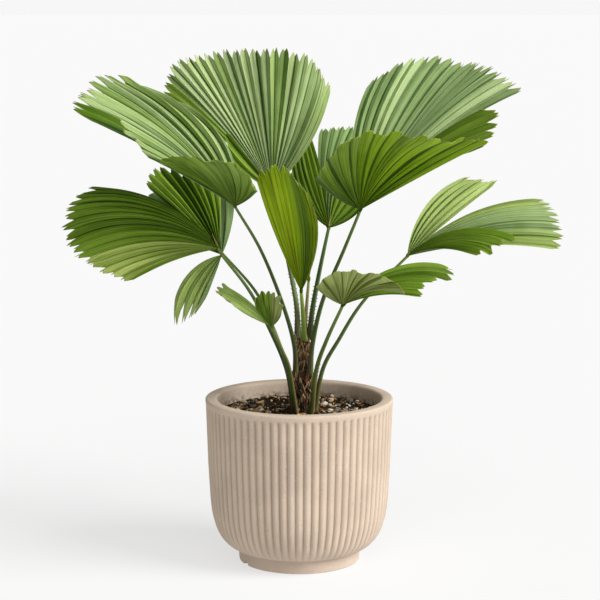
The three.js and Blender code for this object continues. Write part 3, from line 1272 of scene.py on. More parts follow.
@dataclass
class Trunk:
    """The short stem: leaf scars at its top, then bark, and torn fibre round it."""

    x: float = STEM_X
    y: float = 0.0
    foot_radius: float = 13.0
    top_radius: float = 11.5
    flare: float = 1.5
    scars: int = 9
    scar_depth: float = 1.8
    scars_from: Row = (0.25, 0.7)
    fibre_reach: Row = (1.1, 0.6)
    inset: float = 0.4
    rows: int = 150
    columns: int = 96
    low: float = 262.0
    fibre: Strip = Strip(260, 9, 5, 0.22, 0.55, (0.06, 0.97), 0.6, (0.5, 0.3, 0.2))
    fibre_top: float = 350.0
    mat: Strip = Strip(330, 8, 6, 0.35, 1.25, (0.08, 0.96), 0.5, (0.60, 0.24, 0.16))
    mat_top: float = 314.0
    mat_depth: float = 8.5
    wrap: Strip = Strip(130, 8, 6, 0.35, 1.15, (0.08, 0.96), 0.5, (0.60, 0.24, 0.16))
    side_feet: tuple[Row, ...] = ((-6.0, -15.0, 300.0), (17.0, -13.0, 300.0))
    sheath_radius: float = 6.6
    sheath_length: float = 46.0
    sheath_lean: float = 0.7
    top_tuft: Strip = Strip(120, 7, 6, 0.3, 1.1, (0.10, 0.96), 0.5, (0.50, 0.20, 0.30))
    seed: int = 23

    def radius(self, height: np.ndarray) -> np.ndarray:
        """The stem's mean radius at a height, with its flare over the lowest quarter.

        Args:
            height: Heights in the same frame as the pot.

        Returns:
            A radius for each height.
        """
        t = (height - SOIL_Z) / (TRUNK_TOP - SOIL_Z)
        flare = self.flare * (1.0 - smooth(0.0, 0.25, t))
        return lerp(self.foot_radius, self.top_radius, t) + flare

    def bark(self) -> Shape:
        """Radius = mean + scars (a slanted ratchet wave of the height) + upright fibre noise.

        Returns:
            The closed stem.
        """
        angle = around(self.columns)
        height = np.linspace(SOIL_Z - 4.0, TRUNK_TOP, self.rows)
        t = (height - SOIL_Z) / (TRUNK_TOP - SOIL_Z)
        upright = wheel(12.0, angle, height * 0.16)
        slant = 0.35 * np.sin(angle) + 0.25 * np.sin(2.0 * angle + 1.0)
        wave = (t * self.scars + slant + 0.25 * noise(upright, 8.0, 3)) % 1.0
        scar = (wave**2.2) * smooth(*self.scars_from, t) * self.scar_depth
        fibre = 1.0 * noise(upright, 2.2, 5, 2) + 0.7 * noise(upright, 6.0, 6)
        relief = scar + fibre * lerp(*self.fibre_reach, t) - self.inset
        far = self.radius(height) + relief - self.inset
        far = far * np.where(t > 0.985, 0.86, 1.0)
        points = wheel(far, angle, height, self.x, self.y)
        worn = 0.15 + 0.55 * smooth(0.62, 0.9, t)
        raised = np.clip(relief * 0.45 + 0.35, 0, 1)
        return turned(points, together(worn, 0.0, raised))

    def fibres(self, rng: np.random.Generator) -> Shape:
        """Loose strands: each leaves the bark, bows outwards and falls, sway growing as t^2.

        Args:
            rng: Where the chance comes from.

        Returns:
            All loose strands.
        """
        strip = self.fibre
        t = strip.run()
        start = lerp(self.low, self.fibre_top, strip.any(rng) ** 1.3)
        angle = strip.any(rng) * 2.0 * math.pi
        length = lerp(12.0, 34.0, strip.any(rng))
        rising = np.where(strip.any(rng) < 0.25, 1.0, -1.0)
        height = start + rising * length * t * lerp(0.7, 1.0, strip.any(rng))
        height = np.clip(height, SOIL_Z + 3.0, TRUNK_TOP + 3.0)
        bow = strip.any(rng, 0.8, 5.0) * np.sin(t * math.pi * strip.any(rng, 0.45, 0.9))
        sway = strip.any(rng, -0.35, 0.35) * t**2
        far = self.radius(height) - self.inset + bow
        return strip.shape(rng, self.x, self.y, far, angle + sway, height)

    def collar(self, rng: np.random.Generator) -> Shape:
        """The mat round the feet of the upper stalks: torn sheath strips, leaning out and down.

        A strip's distance from the axis swells by a half sine of its height over the mat.

        Args:
            rng: Where the chance comes from.

        Returns:
            All strips of the mat.
        """
        strip = self.mat
        t = strip.run()
        start = lerp(self.mat_top, self.low, strip.any(rng) ** 1.2)
        angle = strip.any(rng) * 2.0 * math.pi
        height = np.maximum(start - strip.any(rng, 8.0, 30.0) * t, SOIL_Z + 2.0)
        share = np.clip((height - SOIL_Z) / (self.mat_top - SOIL_Z), 0.0, 1.0)
        layer = strip.any(rng, 0.15, 1.0)
        far = self.radius(height) + self.mat_depth * layer * np.sin(math.pi * share) ** 0.6
        turn = angle + strip.any(rng, -0.6, 0.6) * t
        return strip.shape(rng, self.x, self.y, far + 1.6 * t**1.5, turn, height)

    def sheath(self, rng: np.random.Generator, foot: Row) -> Shape:
        """The torn sheath of a stalk that leaves the stem's side: a dark core in falling strips.

        Its middle goes from the stalk's foot to the stem's axis by a smooth step of the height.

        Args:
            rng: Where the chance comes from.
            foot: The foot of the stalk.

        Returns:
            Core and strips.
        """
        x, y, z = foot
        strip = self.wrap
        t = strip.run()
        falling = z + 6.0, z - self.sheath_length
        level = np.linspace(z + 1.0, falling[1], 14)
        share = self.sheath_lean * smooth(*falling, level)
        path = together(lerp(x, self.x, share), lerp(y, self.y, share), level)
        girth = np.full(len(level), self.sheath_radius - 0.9)
        core = tube(path, girth, 14, TO_VIEWER, (0.1, 0.0, 0.2))
        start = z + strip.any(rng, -26.0, 11.0)
        height = np.maximum(start - strip.any(rng, 9.0, 28.0) * t, SOIL_Z + 2.0)
        share = self.sheath_lean * smooth(*falling, height)
        turn = strip.any(rng) * 2.0 * math.pi + strip.any(rng, -0.6, 0.6) * t
        far = self.sheath_radius * strip.any(rng, 0.85, 1.2) + 1.2 * t**2
        middle = lerp(x, self.x, share), lerp(y, self.y, share)
        return Shape.joined([core, strip.shape(rng, *middle, far, turn, height)])

    def tuft(self, rng: np.random.Generator) -> Shape:
        """Short strips that rise round the stem's top edge and lean in among the stalks.

        Args:
            rng: Where the chance comes from.

        Returns:
            All strips of the tuft.
        """
        strip = self.top_tuft
        t = strip.run()
        height = strip.any(rng, 336.0, 352.0) + strip.any(rng, 5.0, 15.0) * t
        turn = strip.any(rng) * 2.0 * math.pi + strip.any(rng, -0.5, 0.5) * t
        far = self.top_radius * lerp(1.06, strip.any(rng, 0.70, 1.05), t)
        return strip.shape(rng, self.x, self.y, far, turn, height)

    def build(self) -> None:
        """Bark, and all loose fibre as one piece."""
        rng = np.random.default_rng(self.seed)
        bark = FibreFinish("palm_bark", (30, 18, 8), (158, 126, 82))
        kinds = [
            FibreFinish("fibre_dark", (10, 6, 3), (58, 38, 24)),
            FibreFinish("fibre_rust", (82, 50, 32), (140, 98, 66)),
            FibreFinish("fibre_straw", (138, 108, 70), (198, 172, 128)),
        ]
        sheaths = [self.sheath(rng, foot) for foot in self.side_feet]
        loose = [self.fibres(rng), self.collar(rng), *sheaths, self.tuft(rng)]
        put("trunk_bark", self.bark(), [bark.material()], "trunk", ["trunk"])
        put("trunk_fibres", Shape.joined(loose), [kind.material() for kind in kinds], "trunk")


# ---------------------------------------------------------------- fronds


class Tone(Enum):
    """The greens of the leaflets: the leaf, the painted light on its folds and the painted shade
    in them, which also colours the dark streaks and veins.
    """

    # PALE and GREY are the upper sides' grey-green, partly their own colour and partly painted
    # sheen
    PALE = ((144, 168, 94), (200, 215, 162), (30, 62, 0))
    GREY = ((130, 155, 90), (187, 203, 152), (32, 64, 4))
    FERN = ((114, 142, 62), (172, 193, 126), (28, 60, 0))
    COOL = ((108, 134, 74), (160, 181, 126), (34, 66, 8))
    STRAW = ((140, 162, 78), (192, 208, 138), (56, 84, 4))
    # painted shade: a darker green for leaflets that lie in shade
    DUSK = ((56, 84, 2), (98, 128, 36), (20, 44, 0))
    DEEP = ((88, 121, 18), (136, 164, 62), (26, 52, 0))
    BRIGHT = ((116, 150, 20), (162, 192, 44), (38, 70, 0))
    MID = ((104, 136, 28), (152, 180, 78), (36, 66, 2))
    OLIVE = ((133, 148, 68), (182, 194, 128), (70, 84, 18))
    LIME = ((164, 186, 80), (210, 222, 142), (88, 114, 20))
    YOUNG = ((116, 154, 0), (194, 214, 50), (10, 36, 0))
    SPEAR = ((120, 138, 42), (164, 176, 84), (80, 92, 20))
    UNDER = ((106, 134, 56), (150, 172, 104), (66, 92, 24))


class Shade(Enum):
    """How a leaflet differs from its tone: how far it goes to the tone's painted light or painted
    shade, so that LIGHT and DARK make lit and shaded copies of it.
    """

    LIGHT = 0.34
    PLAIN = 0.06
    DARK = -0.34


@dataclass(frozen=True)
class Leaflet:
    """A tone in a shade."""

    tone: Tone
    shade: Shade

    def finish(self) -> LeafFinish:
        """Its finish: the base goes part of the way to the painted light or to the painted shade.

        Returns:
            The finish.
        """
        base, light, dark = (np.array(colour, float) for colour in self.tone.value)
        towards = light if self.shade.value > 0.0 else dark
        name = f"leaf_{self.tone.name.lower()}_{self.shade.name.lower()}"
        colour = lerp(base, towards, abs(self.shade.value))
        return LeafFinish(name, tuple(colour), tuple(light), tuple(dark))


@dataclass(frozen=True)
class Lobe:
    """A run of leaflets between rays.

    A ray is (bearing, lean, end bearing, end lean, length): the bearing in degrees clockwise
    from straight up as the viewer sees it, the lean in degrees towards the viewer, and both
    turn evenly on the way from hub to tip.
    """

    folds: int
    rays: tuple[Row, ...]
    tones: tuple[Tone, ...] = (Tone.PALE,)
    cut: float = 0.07
    blunt: float = 0.0


@dataclass(frozen=True)
class Blade:
    """The lobes that one CAD node holds."""

    part: str
    lobes: tuple[Lobe, ...]


@dataclass(frozen=True)
class Skin:
    """A stalk's colours: foot, body, tip and right-hand edge, the last partly a paler margin and
    partly painted light from the right.
    """

    foot: Row = (66, 62, 34)
    body: Row = (56, 77, 26)
    tip: Row = (102, 127, 54)
    edge: Row = (120, 140, 70)


@dataclass(frozen=True)
class Frond:
    """A leaf: where its stalk ends, what the stalk goes through, and its blades.

    `costa` is how far the stalk's ridge reaches into the last lobe of the first blade.
    """

    place: str
    hub: Row
    via: tuple[Row, ...]
    blades: tuple[Blade, ...]
    skin: Skin = Skin()
    slim: float = 1.0
    costa: float = 0.0
    slot: str = "blade"


def tones(names: str) -> tuple[Tone, ...]:
    """The tones of these names."""
    return tuple(Tone[name] for name in names.split())


FRONDS: tuple[Frond, ...] = (
    Frond(
        "top", hub=(-44, 78, 591), via=((-2, 4, TRUNK_TOP), (-5, 20, 415), (-20, 48, 487)),
        skin=Skin(body=(82, 102, 46), tip=(114, 136, 60), edge=(134, 150, 84)), costa=38.0,
        blades=(
            Blade("blade", (
                Lobe(22, (
                    (-40, -6, -63, -22, 240), (-33, -6, -41, -22, 265), (-21, -5, -23, -24, 243),
                    (-4, -3, -5, -18, 228), (18, -5, 11, -15, 222), (49, -12, 13, -22, 197),
                ), tones("MID FERN GREY PALE PALE FERN GREY PALE GREY FERN PALE GREY PALE PALE")),
                Lobe(2, ((-70, -2, -34, -6, 96), (-37, -3, -38, -9, 118)), tones("MID")),
            )),
        ),
    ),
    Frond(
        "upper_left", hub=(-99, -55, 576),
        via=((-6, -15, 300), (-8, -18, 353), (-28, -26, 425), (-60, -42, 507)),
        blades=(
            Blade("blade_back", (
                # its last two leaflets hang down in shade and get a darker green: painted shade
                Lobe(11, (
                    (14, -14, -92, -34, 247), (-26, -14, -67, -26, 313), (-39, -6, -69, -12, 298),
                    (-48, 8, -68, 20, 287),
                ), tones("GREY PALE FERN PALE GREY FERN PALE GREY PALE DUSK DUSK"), 0.1),
                Lobe(4, ((-41, 14, -59, 26, 242), (-51, 30, -63, 34, 188)), tones("PALE")),
            )),
            Blade("blade_front", (
                Lobe(9, (
                    (-44, 20, -67, 76, 204), (-30, 52, -31, 75, 247), (16, 60, -29, 77, 241),
                    (58, 63, 16, 86, 228),
                ), tones("DEEP MID MID"), 0.02, 1.0),
            )),
        ),
    ),
    Frond(
        "right", hub=(94, -80, 574),
        via=((17, -13, 300), (21, -20, 354), (37, -38, 427), (69, -62, 509)),
        blades=(
            Blade("blade_back", (
                Lobe(16, (
                    (-19, -26, 32, -44, 239), (9, -30, 40, -46, 317), (29, -22, 48, -36, 323),
                    (32, -12, 59, -22, 314), (42, -4, 67, -12, 317),
                ), tones("COOL GREY COOL COOL COOL GREY")),
                Lobe(5, (
                    (37, 0, 65, 12, 258), (44, 8, 68, 24, 252), (50, 14, 72, 34, 220),
                ), tones("DEEP DEEP MID")),
            )),
            Blade("blade_front", (
                Lobe(15, (
                    (60, 16, 57, 42, 249), (26, 32, 55, 71, 248), (-11, 44, 9, 69, 231),
                    (-66, 48, -27, 70, 184),
                ), tones("BRIGHT BRIGHT BRIGHT BRIGHT MID MID"), 0.06, 0.8),
            )),
        ),
    ),
    Frond(
        "back", hub=(48, 100, 525), via=((16, 1, TRUNK_TOP), (21, 14, 403), (33, 52, 462)),
        skin=Skin(body=(50, 72, 28), tip=(84, 112, 44), edge=(78, 102, 44)), costa=30.0,
        blades=(
            Blade("blade", (
                # the first lobe's upper side lies in shade and is given a dark green: painted
                # shade
                Lobe(6, ((-61, -22, 14, -42, 175), (-3, -34, -22, -44, 195)), tones("DEEP")),
                Lobe(9, (
                    (-18, -38, 7, -46, 204), (9, -44, 34, -54, 238), (84, -34, 22, -46, 122),
                ), tones("COOL COOL MID DEEP")),
            )),
        ),
    ),
    Frond(
        "far_right", hub=(173, 35, 487),
        via=((25, -7, SOIL_Z), (37, 0, 308), (63, 8, 356), (103, 20, 417)),
        skin=Skin(foot=(86, 70, 44), body=(74, 94, 42)),
        blades=(
            Blade("blade", (
                Lobe(5, ((5, -20, 79, -42, 189), (50, -14, 57, -26, 199)), tones("STRAW")),
                Lobe(8, (
                    (45, -6, 91, -12, 241), (55, -2, 96, -2, 254), (75, 4, 100, 6, 245),
                ), tones("STRAW GREY GREY STRAW")),
                Lobe(4, ((43, 12, 115, 20, 194), (61, 36, 105, 46, 131)), tones("DEEP")),
            )),
        ),
    ),
    Frond(
        "left", hub=(-127, -20, 506),
        via=((-10, -13, SOIL_Z), (-18, -20, 312), (-42, -24, 384), (-70, -24, 441)), costa=34.0,
        blades=(
            Blade("blade_back", (
                # this lobe's upper side lies in shade and is given dark greens: painted shade
                Lobe(9, (
                    (7, -44, -6, -56, 122), (-13, -40, -40, -50, 162), (-36, -36, -47, -44, 204),
                    (-51, -28, -53, -32, 174),
                ), tones("DEEP DUSK DEEP")),
            )),
            Blade("blade_front", (
                Lobe(16, (
                    (-39, -24, -92, -10, 238), (-45, -12, -104, -3, 260), (-56, -4, -118, 3, 249),
                    (-77, 12, -114, 16, 206), (-94, 30, -116, 42, 170),
                ), tones("DEEP DEEP DEEP DEEP MID LIME LIME")),
            )),
        ),
    ),
    Frond(
        "back_left", hub=(-126, 75, 484),
        via=((-9, 15, SOIL_Z), (-20, 14, 306), (-47, 32, 368), (-81, 48, 430)), costa=26.0,
        blades=(
            Blade("blade", (
                Lobe(2, ((24, -16, -4, -30, 101), (-14, -34, -10, -46, 140)), tones("COOL")),
                Lobe(9, (
                    (-12, -42, -26, -54, 168), (-32, -48, -76, -56, 237),
                    (-52, -40, -104, -46, 269), (-70, -30, -112, -26, 187),
                ), tones("COOL")),
            )),
            Blade("blade_hanging", (
                Lobe(4, (
                    (-99, 4, -190, 8, 151), (-140, 14, -162, 14, 120), (-163, 22, -150, 22, 106),
                ), tones("STRAW STRAW GREY"), 0.28),
            )),
        ),
    ),
    Frond(
        "young", hub=(3, -45, 442), via=((8, -7, TRUNK_TOP), (6, -24, 401)),
        skin=Skin(
            foot=(110, 122, 50), body=(112, 138, 44), tip=(136, 162, 58), edge=(150, 170, 84),
        ),
        slot="young_blade",
        blades=(
            Blade("blade", (
                Lobe(15, (
                    (-26, 2, -16, 8, 194), (-6, 14, -13, 26, 216), (23, 24, -23, 44, 218),
                    (25, 30, -5, 50, 177),
                ), tones("YOUNG YOUNG YOUNG YOUNG BRIGHT DEEP BRIGHT YOUNG YOUNG YOUNG"), 0.05),
            )),
        ),
    ),
    Frond(
        "low_right", hub=(67, -95, 428), via=((19, -24, SOIL_Z), (27, -46, 317), (43, -66, 369)),
        skin=Skin(foot=(58, 64, 18), body=(72, 94, 36), edge=(160, 132, 104)),
        blades=(
            Blade("blade_back", (
                Lobe(6, (
                    (37, -10, 106, -14, 184), (46, -4, 106, -4, 184), (53, 4, 98, 4, 138),
                    (65, 12, 98, 14, 120),
                ), tones("DEEP")),
            )),
            Blade("blade_front", (
                Lobe(9, (
                    (49, 22, 105, 38, 116), (24, 41, 36, 61, 115), (-2, 50, -6, 66, 126),
                    (-63, 45, -22, 70, 112),
                ), tones("OLIVE"), 0.05, 0.9),
            )),
        ),
    ),
    Frond(
        "low_left", hub=(-42, -85, 393),
        via=((-5, -26, SOIL_Z), (-15, -48, 316), (-27, -62, 352)),
        skin=Skin(foot=(42, 34, 30), body=(66, 86, 34), edge=(164, 144, 84)),
        blades=(
            Blade("blade_back", (
                Lobe(5, (
                    (-33, -14, -66, -16, 102), (-46, -1, -69, 0, 103), (-63, 12, -53, 16, 71),
                ), tones("STRAW")),
            )),
            Blade("blade_front", (
                Lobe(6, (
                    (-48, 32, 0, 67, 94), (-2, 46, 2, 51, 98), (45, 50, -18, 82, 115),
                ), tones("MID OLIVE"), 0.07, 0.5),
            )),
        ),
    ),
    Frond(
        "spear", hub=(15, 0, 454), via=((8, 10, TRUNK_TOP), (12, 7, 413)),
        skin=Skin(
            foot=(120, 90, 66), body=(130, 112, 76), tip=(132, 146, 60), edge=(140, 152, 66),
        ),
        slim=0.85, slot="young_blade",
        blades=(
            Blade("blade", (
                Lobe(3, ((-6, -4, 8, -2, 116), (14, 8, 2, 14, 93)), tones("SPEAR")),
            )),
        ),
    ),
)


@dataclass
class Fan:
    """One CAD node's leaflets: each lobe a thin closed sheet, pleated once a leaflet."""

    place: str
    hub: Row
    blade: Blade
    seed: int
    across: tuple[float, ...] = (
        0.0, 0.035, 0.12, 0.22, 0.32, 0.41, 0.47, 0.5, 0.53, 0.59, 0.68, 0.78, 0.88, 0.965,
    )
    rows: int = 46
    crowding: float = 1.6
    root: float = 1.5
    steps: int = 12
    drift: float = 0.10
    half_thick: float = 0.35
    stretch: float = 1.012
    uneven: float = 0.012
    cut_range: Row = (0.75, 1.3)
    tooth_at: float = 0.34
    tooth_power: float = 1.1
    tooth_even: float = 0.3
    tooth_lopsided: float = 0.6
    fork: float = 0.38
    pleat: float = 0.17
    pleat_at_hub: float = 0.13
    pleat_most: float = 4.6
    pleat_at_tip: float = 0.75
    pleat_if_blunt: float = 0.2
    eases_at_tip: Row = (0.8, 1.0)
    eases_if_blunt: Row = (0.55, 0.98)
    wave: float = 2.6
    wave_folds: float = 3.2
    wave_rows: float = 2.2
    lift: float = 1.0
    lift_from: Row = (0.4, 1.0)
    curl: float = 2.2
    curl_from: Row = (0.88, 1.0)
    apart: int = 29
    seam: float = 0.0005
    shade_drift: float = 0.45
    shade_steps: Row = (0.36, 0.66)
    knob_size: float = 2.9
    knob_longer: float = 0.9
    knob_ahead: float = 0.5
    knob_net: int = 4
    knobs: tuple[str, ...] = ("blade", "blade_back")

    def walk(self, rays: np.ndarray, distance: np.ndarray) -> np.ndarray:
        """Points at distances from the hub along rays whose heading turns evenly.

        Each is the hub plus twelve equal strides, every stride along the heading half way
        through it.

        Args:
            rays: (columns, 5), bearing, lean, end bearing, end lean and length.
            distance: (columns, rows), how far from the hub.

        Returns:
            (columns, rows, 3).
        """
        mid = (np.arange(self.steps) + 0.5) / self.steps
        bearing, lean, end_bearing, end_lean, length = (rays[:, k, None, None] for k in range(5))
        t = mid * distance[..., None] / length
        b = np.radians(lerp(bearing, end_bearing, t))
        tilt = np.radians(lerp(lean, end_lean, t))
        level = np.cos(tilt)
        heading = together(level * np.sin(b), -np.sin(tilt), level * np.cos(b))
        return np.array(self.hub) + heading.mean(axis=2) * distance[..., None]

    def outline(
        self, rng: np.random.Generator, lobe: Lobe, s: np.ndarray, leaf: np.ndarray,
    ) -> np.ndarray:
        """The share of its ray that each column keeps: two teeth a leaflet, a cleft between.

        Args:
            rng: Where the chance comes from.
            lobe: How deep its teeth are cut.
            s: The place across a leaflet, 0 to 1.
            leaf: The number of each column's leaflet.

        Returns:
            One share for each column.
        """
        off = np.abs(s - 0.5) * 2.0
        beyond = off > self.tooth_at
        side = np.where(beyond, 1.0 - self.tooth_at, self.tooth_at)
        share = np.abs(off - self.tooth_at) / side
        drop = np.where(beyond, 1.0, self.fork) * share**self.tooth_power
        drop = lerp(drop, off**3, lobe.blunt)
        inside = smooth(0.0, self.tooth_even, 1.0 - off)
        depth = lobe.cut * lerp(1.0, rng.uniform(*self.cut_range, lobe.folds)[leaf], inside)
        left = rng.uniform(-1, 1, lobe.folds)[leaf] * np.where(s < 0.5, 1.0, -1.0)
        own = rng.uniform(-1, 1, lobe.folds)[leaf] + self.tooth_lopsided * left
        own = own * inside
        return (1.0 - depth * drop) * (1.0 + self.uneven * own) * self.stretch

    def lobe(self, lobe: Lobe, order: int) -> Shape:
        """A closed sheet: even run of rays + pleat (a zigzag of the place across a leaflet).

        Args:
            lobe: Its rays, leaflets and greens.
            order: Its number in the blade, for its own chance.

        Returns:
            Upper side, lower side and the rim between them.
        """
        rng = np.random.default_rng([self.seed, order])
        folds, size = lobe.folds, len(self.across)
        leaf = np.append(np.repeat(np.arange(folds), size), folds - 1)
        s = np.append(np.tile(self.across, folds), 1.0)
        edges = np.arange(folds + 1) + self.drift * rng.uniform(-1, 1, folds + 1)
        edges[[0, -1]] = 0, folds
        t = np.clip(lerp(edges[leaf], edges[leaf + 1], s) / folds, 0.0, 1.0)
        rays = catmull(np.array(lobe.rays, float), t)
        reach = rays[:, 4] * self.outline(rng, lobe, s, leaf)
        v = np.linspace(0.0, 1.0, self.rows)
        v = lerp(v, 1.0 - (1.0 - v) ** self.crowding, 0.5)
        points = self.walk(rays, self.root + v * (reach[:, None] - self.root))
        normal = unit(np.cross(np.gradient(points, axis=0), np.gradient(points, axis=1)))
        relief = self.relief(rng, points, order, leaf, s, t, v, lobe.blunt)
        points = points + normal * relief[..., None]
        half = self.half_thick * normal
        both = np.vstack([(points + half).reshape(-1, 3), (points - half).reshape(-1, 3)])
        shown = float((normal @ TO_VIEWER).mean()) >= 0.0
        uv = self.places(order, folds, leaf, s, v, shown)
        trait = np.repeat(rng.random((folds, 3))[leaf], self.rows, axis=0)
        ring = self.border(len(s))
        front = self.dealt(rng, folds, lobe.tones)
        behind = self.dealt(rng, folds, (Tone.UNDER,))
        upper, lower = (front, behind) if shown else (behind, front)
        of_face = np.repeat(leaf[:-1], self.rows - 1)
        finish = np.concatenate([upper[of_face], lower[of_face], front[leaf[ring // self.rows]]])
        faces = self.faces(len(s), ring)
        return Shape.of(both, faces, finish, np.vstack([uv, uv]), np.vstack([trait, trait]))

    def places(
        self, order: int, folds: int, leaf: np.ndarray, s: np.ndarray, v: np.ndarray, shown: bool,
    ) -> np.ndarray:
        """The uv of each point: leaflets are counted from another start in every lobe.

        Args:
            order: The lobe's number.
            folds: How many leaflets it has.
            leaf: Each column's leaflet.
            s: Each column's place across it.
            v: Each row's place along.
            shown: Whether the lobe turns its upper side to the viewer.

        Returns:
            Two numbers for each point.
        """
        clear = np.clip(s, self.seam, 1.0 - self.seam)
        start = self.apart * (order + self.seed % 10 * 3)
        place = start + (leaf + clear if shown else folds - leaf + 0.5 - clear)
        return together(place[:, None], v).reshape(-1, 2)

    def border(self, columns: int) -> np.ndarray:
        """The numbers of the points round a side: along the hub, out, back and in again.

        Args:
            columns: How many columns the side has.

        Returns:
            Their numbers in order.
        """
        last = self.rows - 1
        return np.concatenate([
            np.arange(columns) * self.rows,
            (columns - 1) * self.rows + np.arange(1, self.rows),
            np.arange(columns - 2, -1, -1) * self.rows + last,
            np.arange(last - 1, 0, -1),
        ])

    def faces(self, columns: int, ring: np.ndarray) -> np.ndarray:
        """The quads of the upper side, of the lower side and of the rim that joins them.

        Args:
            columns: How many columns a side has.
            ring: The numbers round a side, as border gives them.

        Returns:
            Four corner numbers for each quad.
        """
        count = columns * self.rows
        following = np.roll(ring, -1)
        return np.vstack([
            grid_faces(columns, self.rows),
            grid_faces(columns, self.rows, flip=True) + count,
            together(ring + count, following + count, following, ring),
        ])

    def relief(
        self, rng: np.random.Generator, points: np.ndarray, order: int, leaf: np.ndarray,
        s: np.ndarray, t: np.ndarray, v: np.ndarray, blunt: float,
    ) -> np.ndarray:
        """How far each point stands out: pleat + slow waves + each leaflet's own lift and curl.

        The pleat is the width of a leaflet there times a zigzag, 4 |s - 1/2| - 1.

        Args:
            rng: Where the chance comes from.
            points: The unpleated sheet, (columns, rows, 3).
            order: The lobe's number.
            leaf: Each column's leaflet.
            s: Each column's place across it.
            t: Each column's place across the lobe.
            v: Each row's place along.
            blunt: 1 where the pleats flatten out before the margin.

        Returns:
            (columns, rows).
        """
        folds = leaf[-1] + 1
        ridge = points[::len(self.across)]
        width = np.linalg.norm(ridge[1:] - ridge[:-1], axis=-1)
        middle = np.clip(leaf + s - 0.5, 0.0, folds - 1.0)
        low = middle.astype(int)
        high = np.minimum(low + 1, folds - 1)
        width = lerp(width[low], width[high], (middle - low)[:, None])
        share = self.pleat + self.pleat_at_hub * (1.0 - v) ** 2
        fold = np.minimum(width * share, self.pleat_most)
        fold = fold * lerp(1.0, self.pleat_at_tip, smooth(*self.eases_at_tip, v))
        flatter = smooth(*self.eases_if_blunt, v) * blunt**4
        fold = fold * lerp(1.0, self.pleat_if_blunt, flatter)
        apart = 3.1 * order + 0.7 * self.seed
        sway = together((t * folds / self.wave_folds)[:, None], v * self.wave_rows, apart)
        lift = self.wave * noise(sway, 1.0, self.seed) * v**1.5
        window = np.sin(math.pi * s)[:, None] ** 0.7
        own = rng.normal(scale=self.lift, size=folds)[leaf, None]
        lift = lift + own * window * smooth(*self.lift_from, v)
        own = rng.normal(scale=self.curl, size=folds)[leaf, None]
        curl = own * window * smooth(*self.curl_from, v) ** 1.5
        zigzag = (4.0 * np.abs(s - 0.5) - 1.0)[:, None]
        return fold * zigzag + lift + curl

    def dealt(self, rng: np.random.Generator, folds: int, tones: tuple[Tone, ...]) -> np.ndarray:
        """One leaflet finish for each fold: tones in their order, shades by a drifting chance.

        Args:
            rng: Where the chance comes from.
            folds: How many leaflets.
            tones: Their greens, from the first ray to the last.

        Returns:
            A finish number for each leaflet: its tone's place times the count of shades + shade.
        """
        picked = np.array([list(Tone).index(tone) for tone in tones])
        place = np.minimum((np.arange(folds) + 0.5) / folds * len(picked), len(picked) - 1e-6)
        knots = np.arange(-2, folds + 6, 3)
        drift = np.interp(np.arange(folds), knots, rng.random(len(knots)))
        chance = lerp(rng.random(folds), drift, self.shade_drift)
        return picked[place.astype(int)] * len(Shade) + np.digitize(chance, self.shade_steps)

    def knob(self, finish: int) -> Shape:
        """The swelling where the leaflets meet the stalk, an egg set along the first ray.

        Args:
            finish: Its material.

        Returns:
            The closed egg.
        """
        net, faces = pebble_net(self.knob_net)
        rays = np.array(self.blade.lobes[0].rays, float)
        ahead = self.walk(rays, np.full((len(rays), 1), 10.0)).mean(axis=(0, 1))
        along = unit(ahead - np.array(self.hub))
        longer = np.outer(net @ along, along) * self.knob_size * self.knob_longer
        stretch = net * self.knob_size + longer
        points = np.array(self.hub) + stretch + along * self.knob_size * self.knob_ahead
        return Shape.of(points, faces, finish, (0.5, 0.12), (0.3, 0.4, 0.5))

    def build(self, leaflets: "Palette", slot: str) -> None:
        """All lobes of the blade as one piece in place of its CAD node.

        Args:
            leaflets: Where the finishes come from.
            slot: The record's material slot.
        """
        shapes = [self.lobe(lobe, order) for order, lobe in enumerate(self.blade.lobes)]
        if self.blade.part in self.knobs:
            shapes.append(self.knob(int(shapes[0].finish[0])))
        shape = Shape.joined(shapes)
        used, shape.finish = np.unique(shape.finish, return_inverse=True)
        node = f"{self.place}_{self.blade.part}"
        materials = [leaflets.material(int(number)) for number in used]
        put(f"{node}_leaflets", shape, materials, slot, [node])


@dataclass
class Palette:
    """The leaflet finishes, each made when it is first asked for."""

    made: dict[int, bpy.types.Material] = field(default_factory=dict)

    def material(self, number: int) -> bpy.types.Material:
        """The material of a number: its tone's place times the count of shades, plus a shade.

        Args:
            number: What Fan.dealt gives.

        Returns:
            The material.
        """
        if number not in self.made:
            tone, shade = divmod(number, len(Shade))
            leaflet = Leaflet(list(Tone)[tone], list(Shade)[shade])
            self.made[number] = leaflet.finish().material()
        return self.made[number]


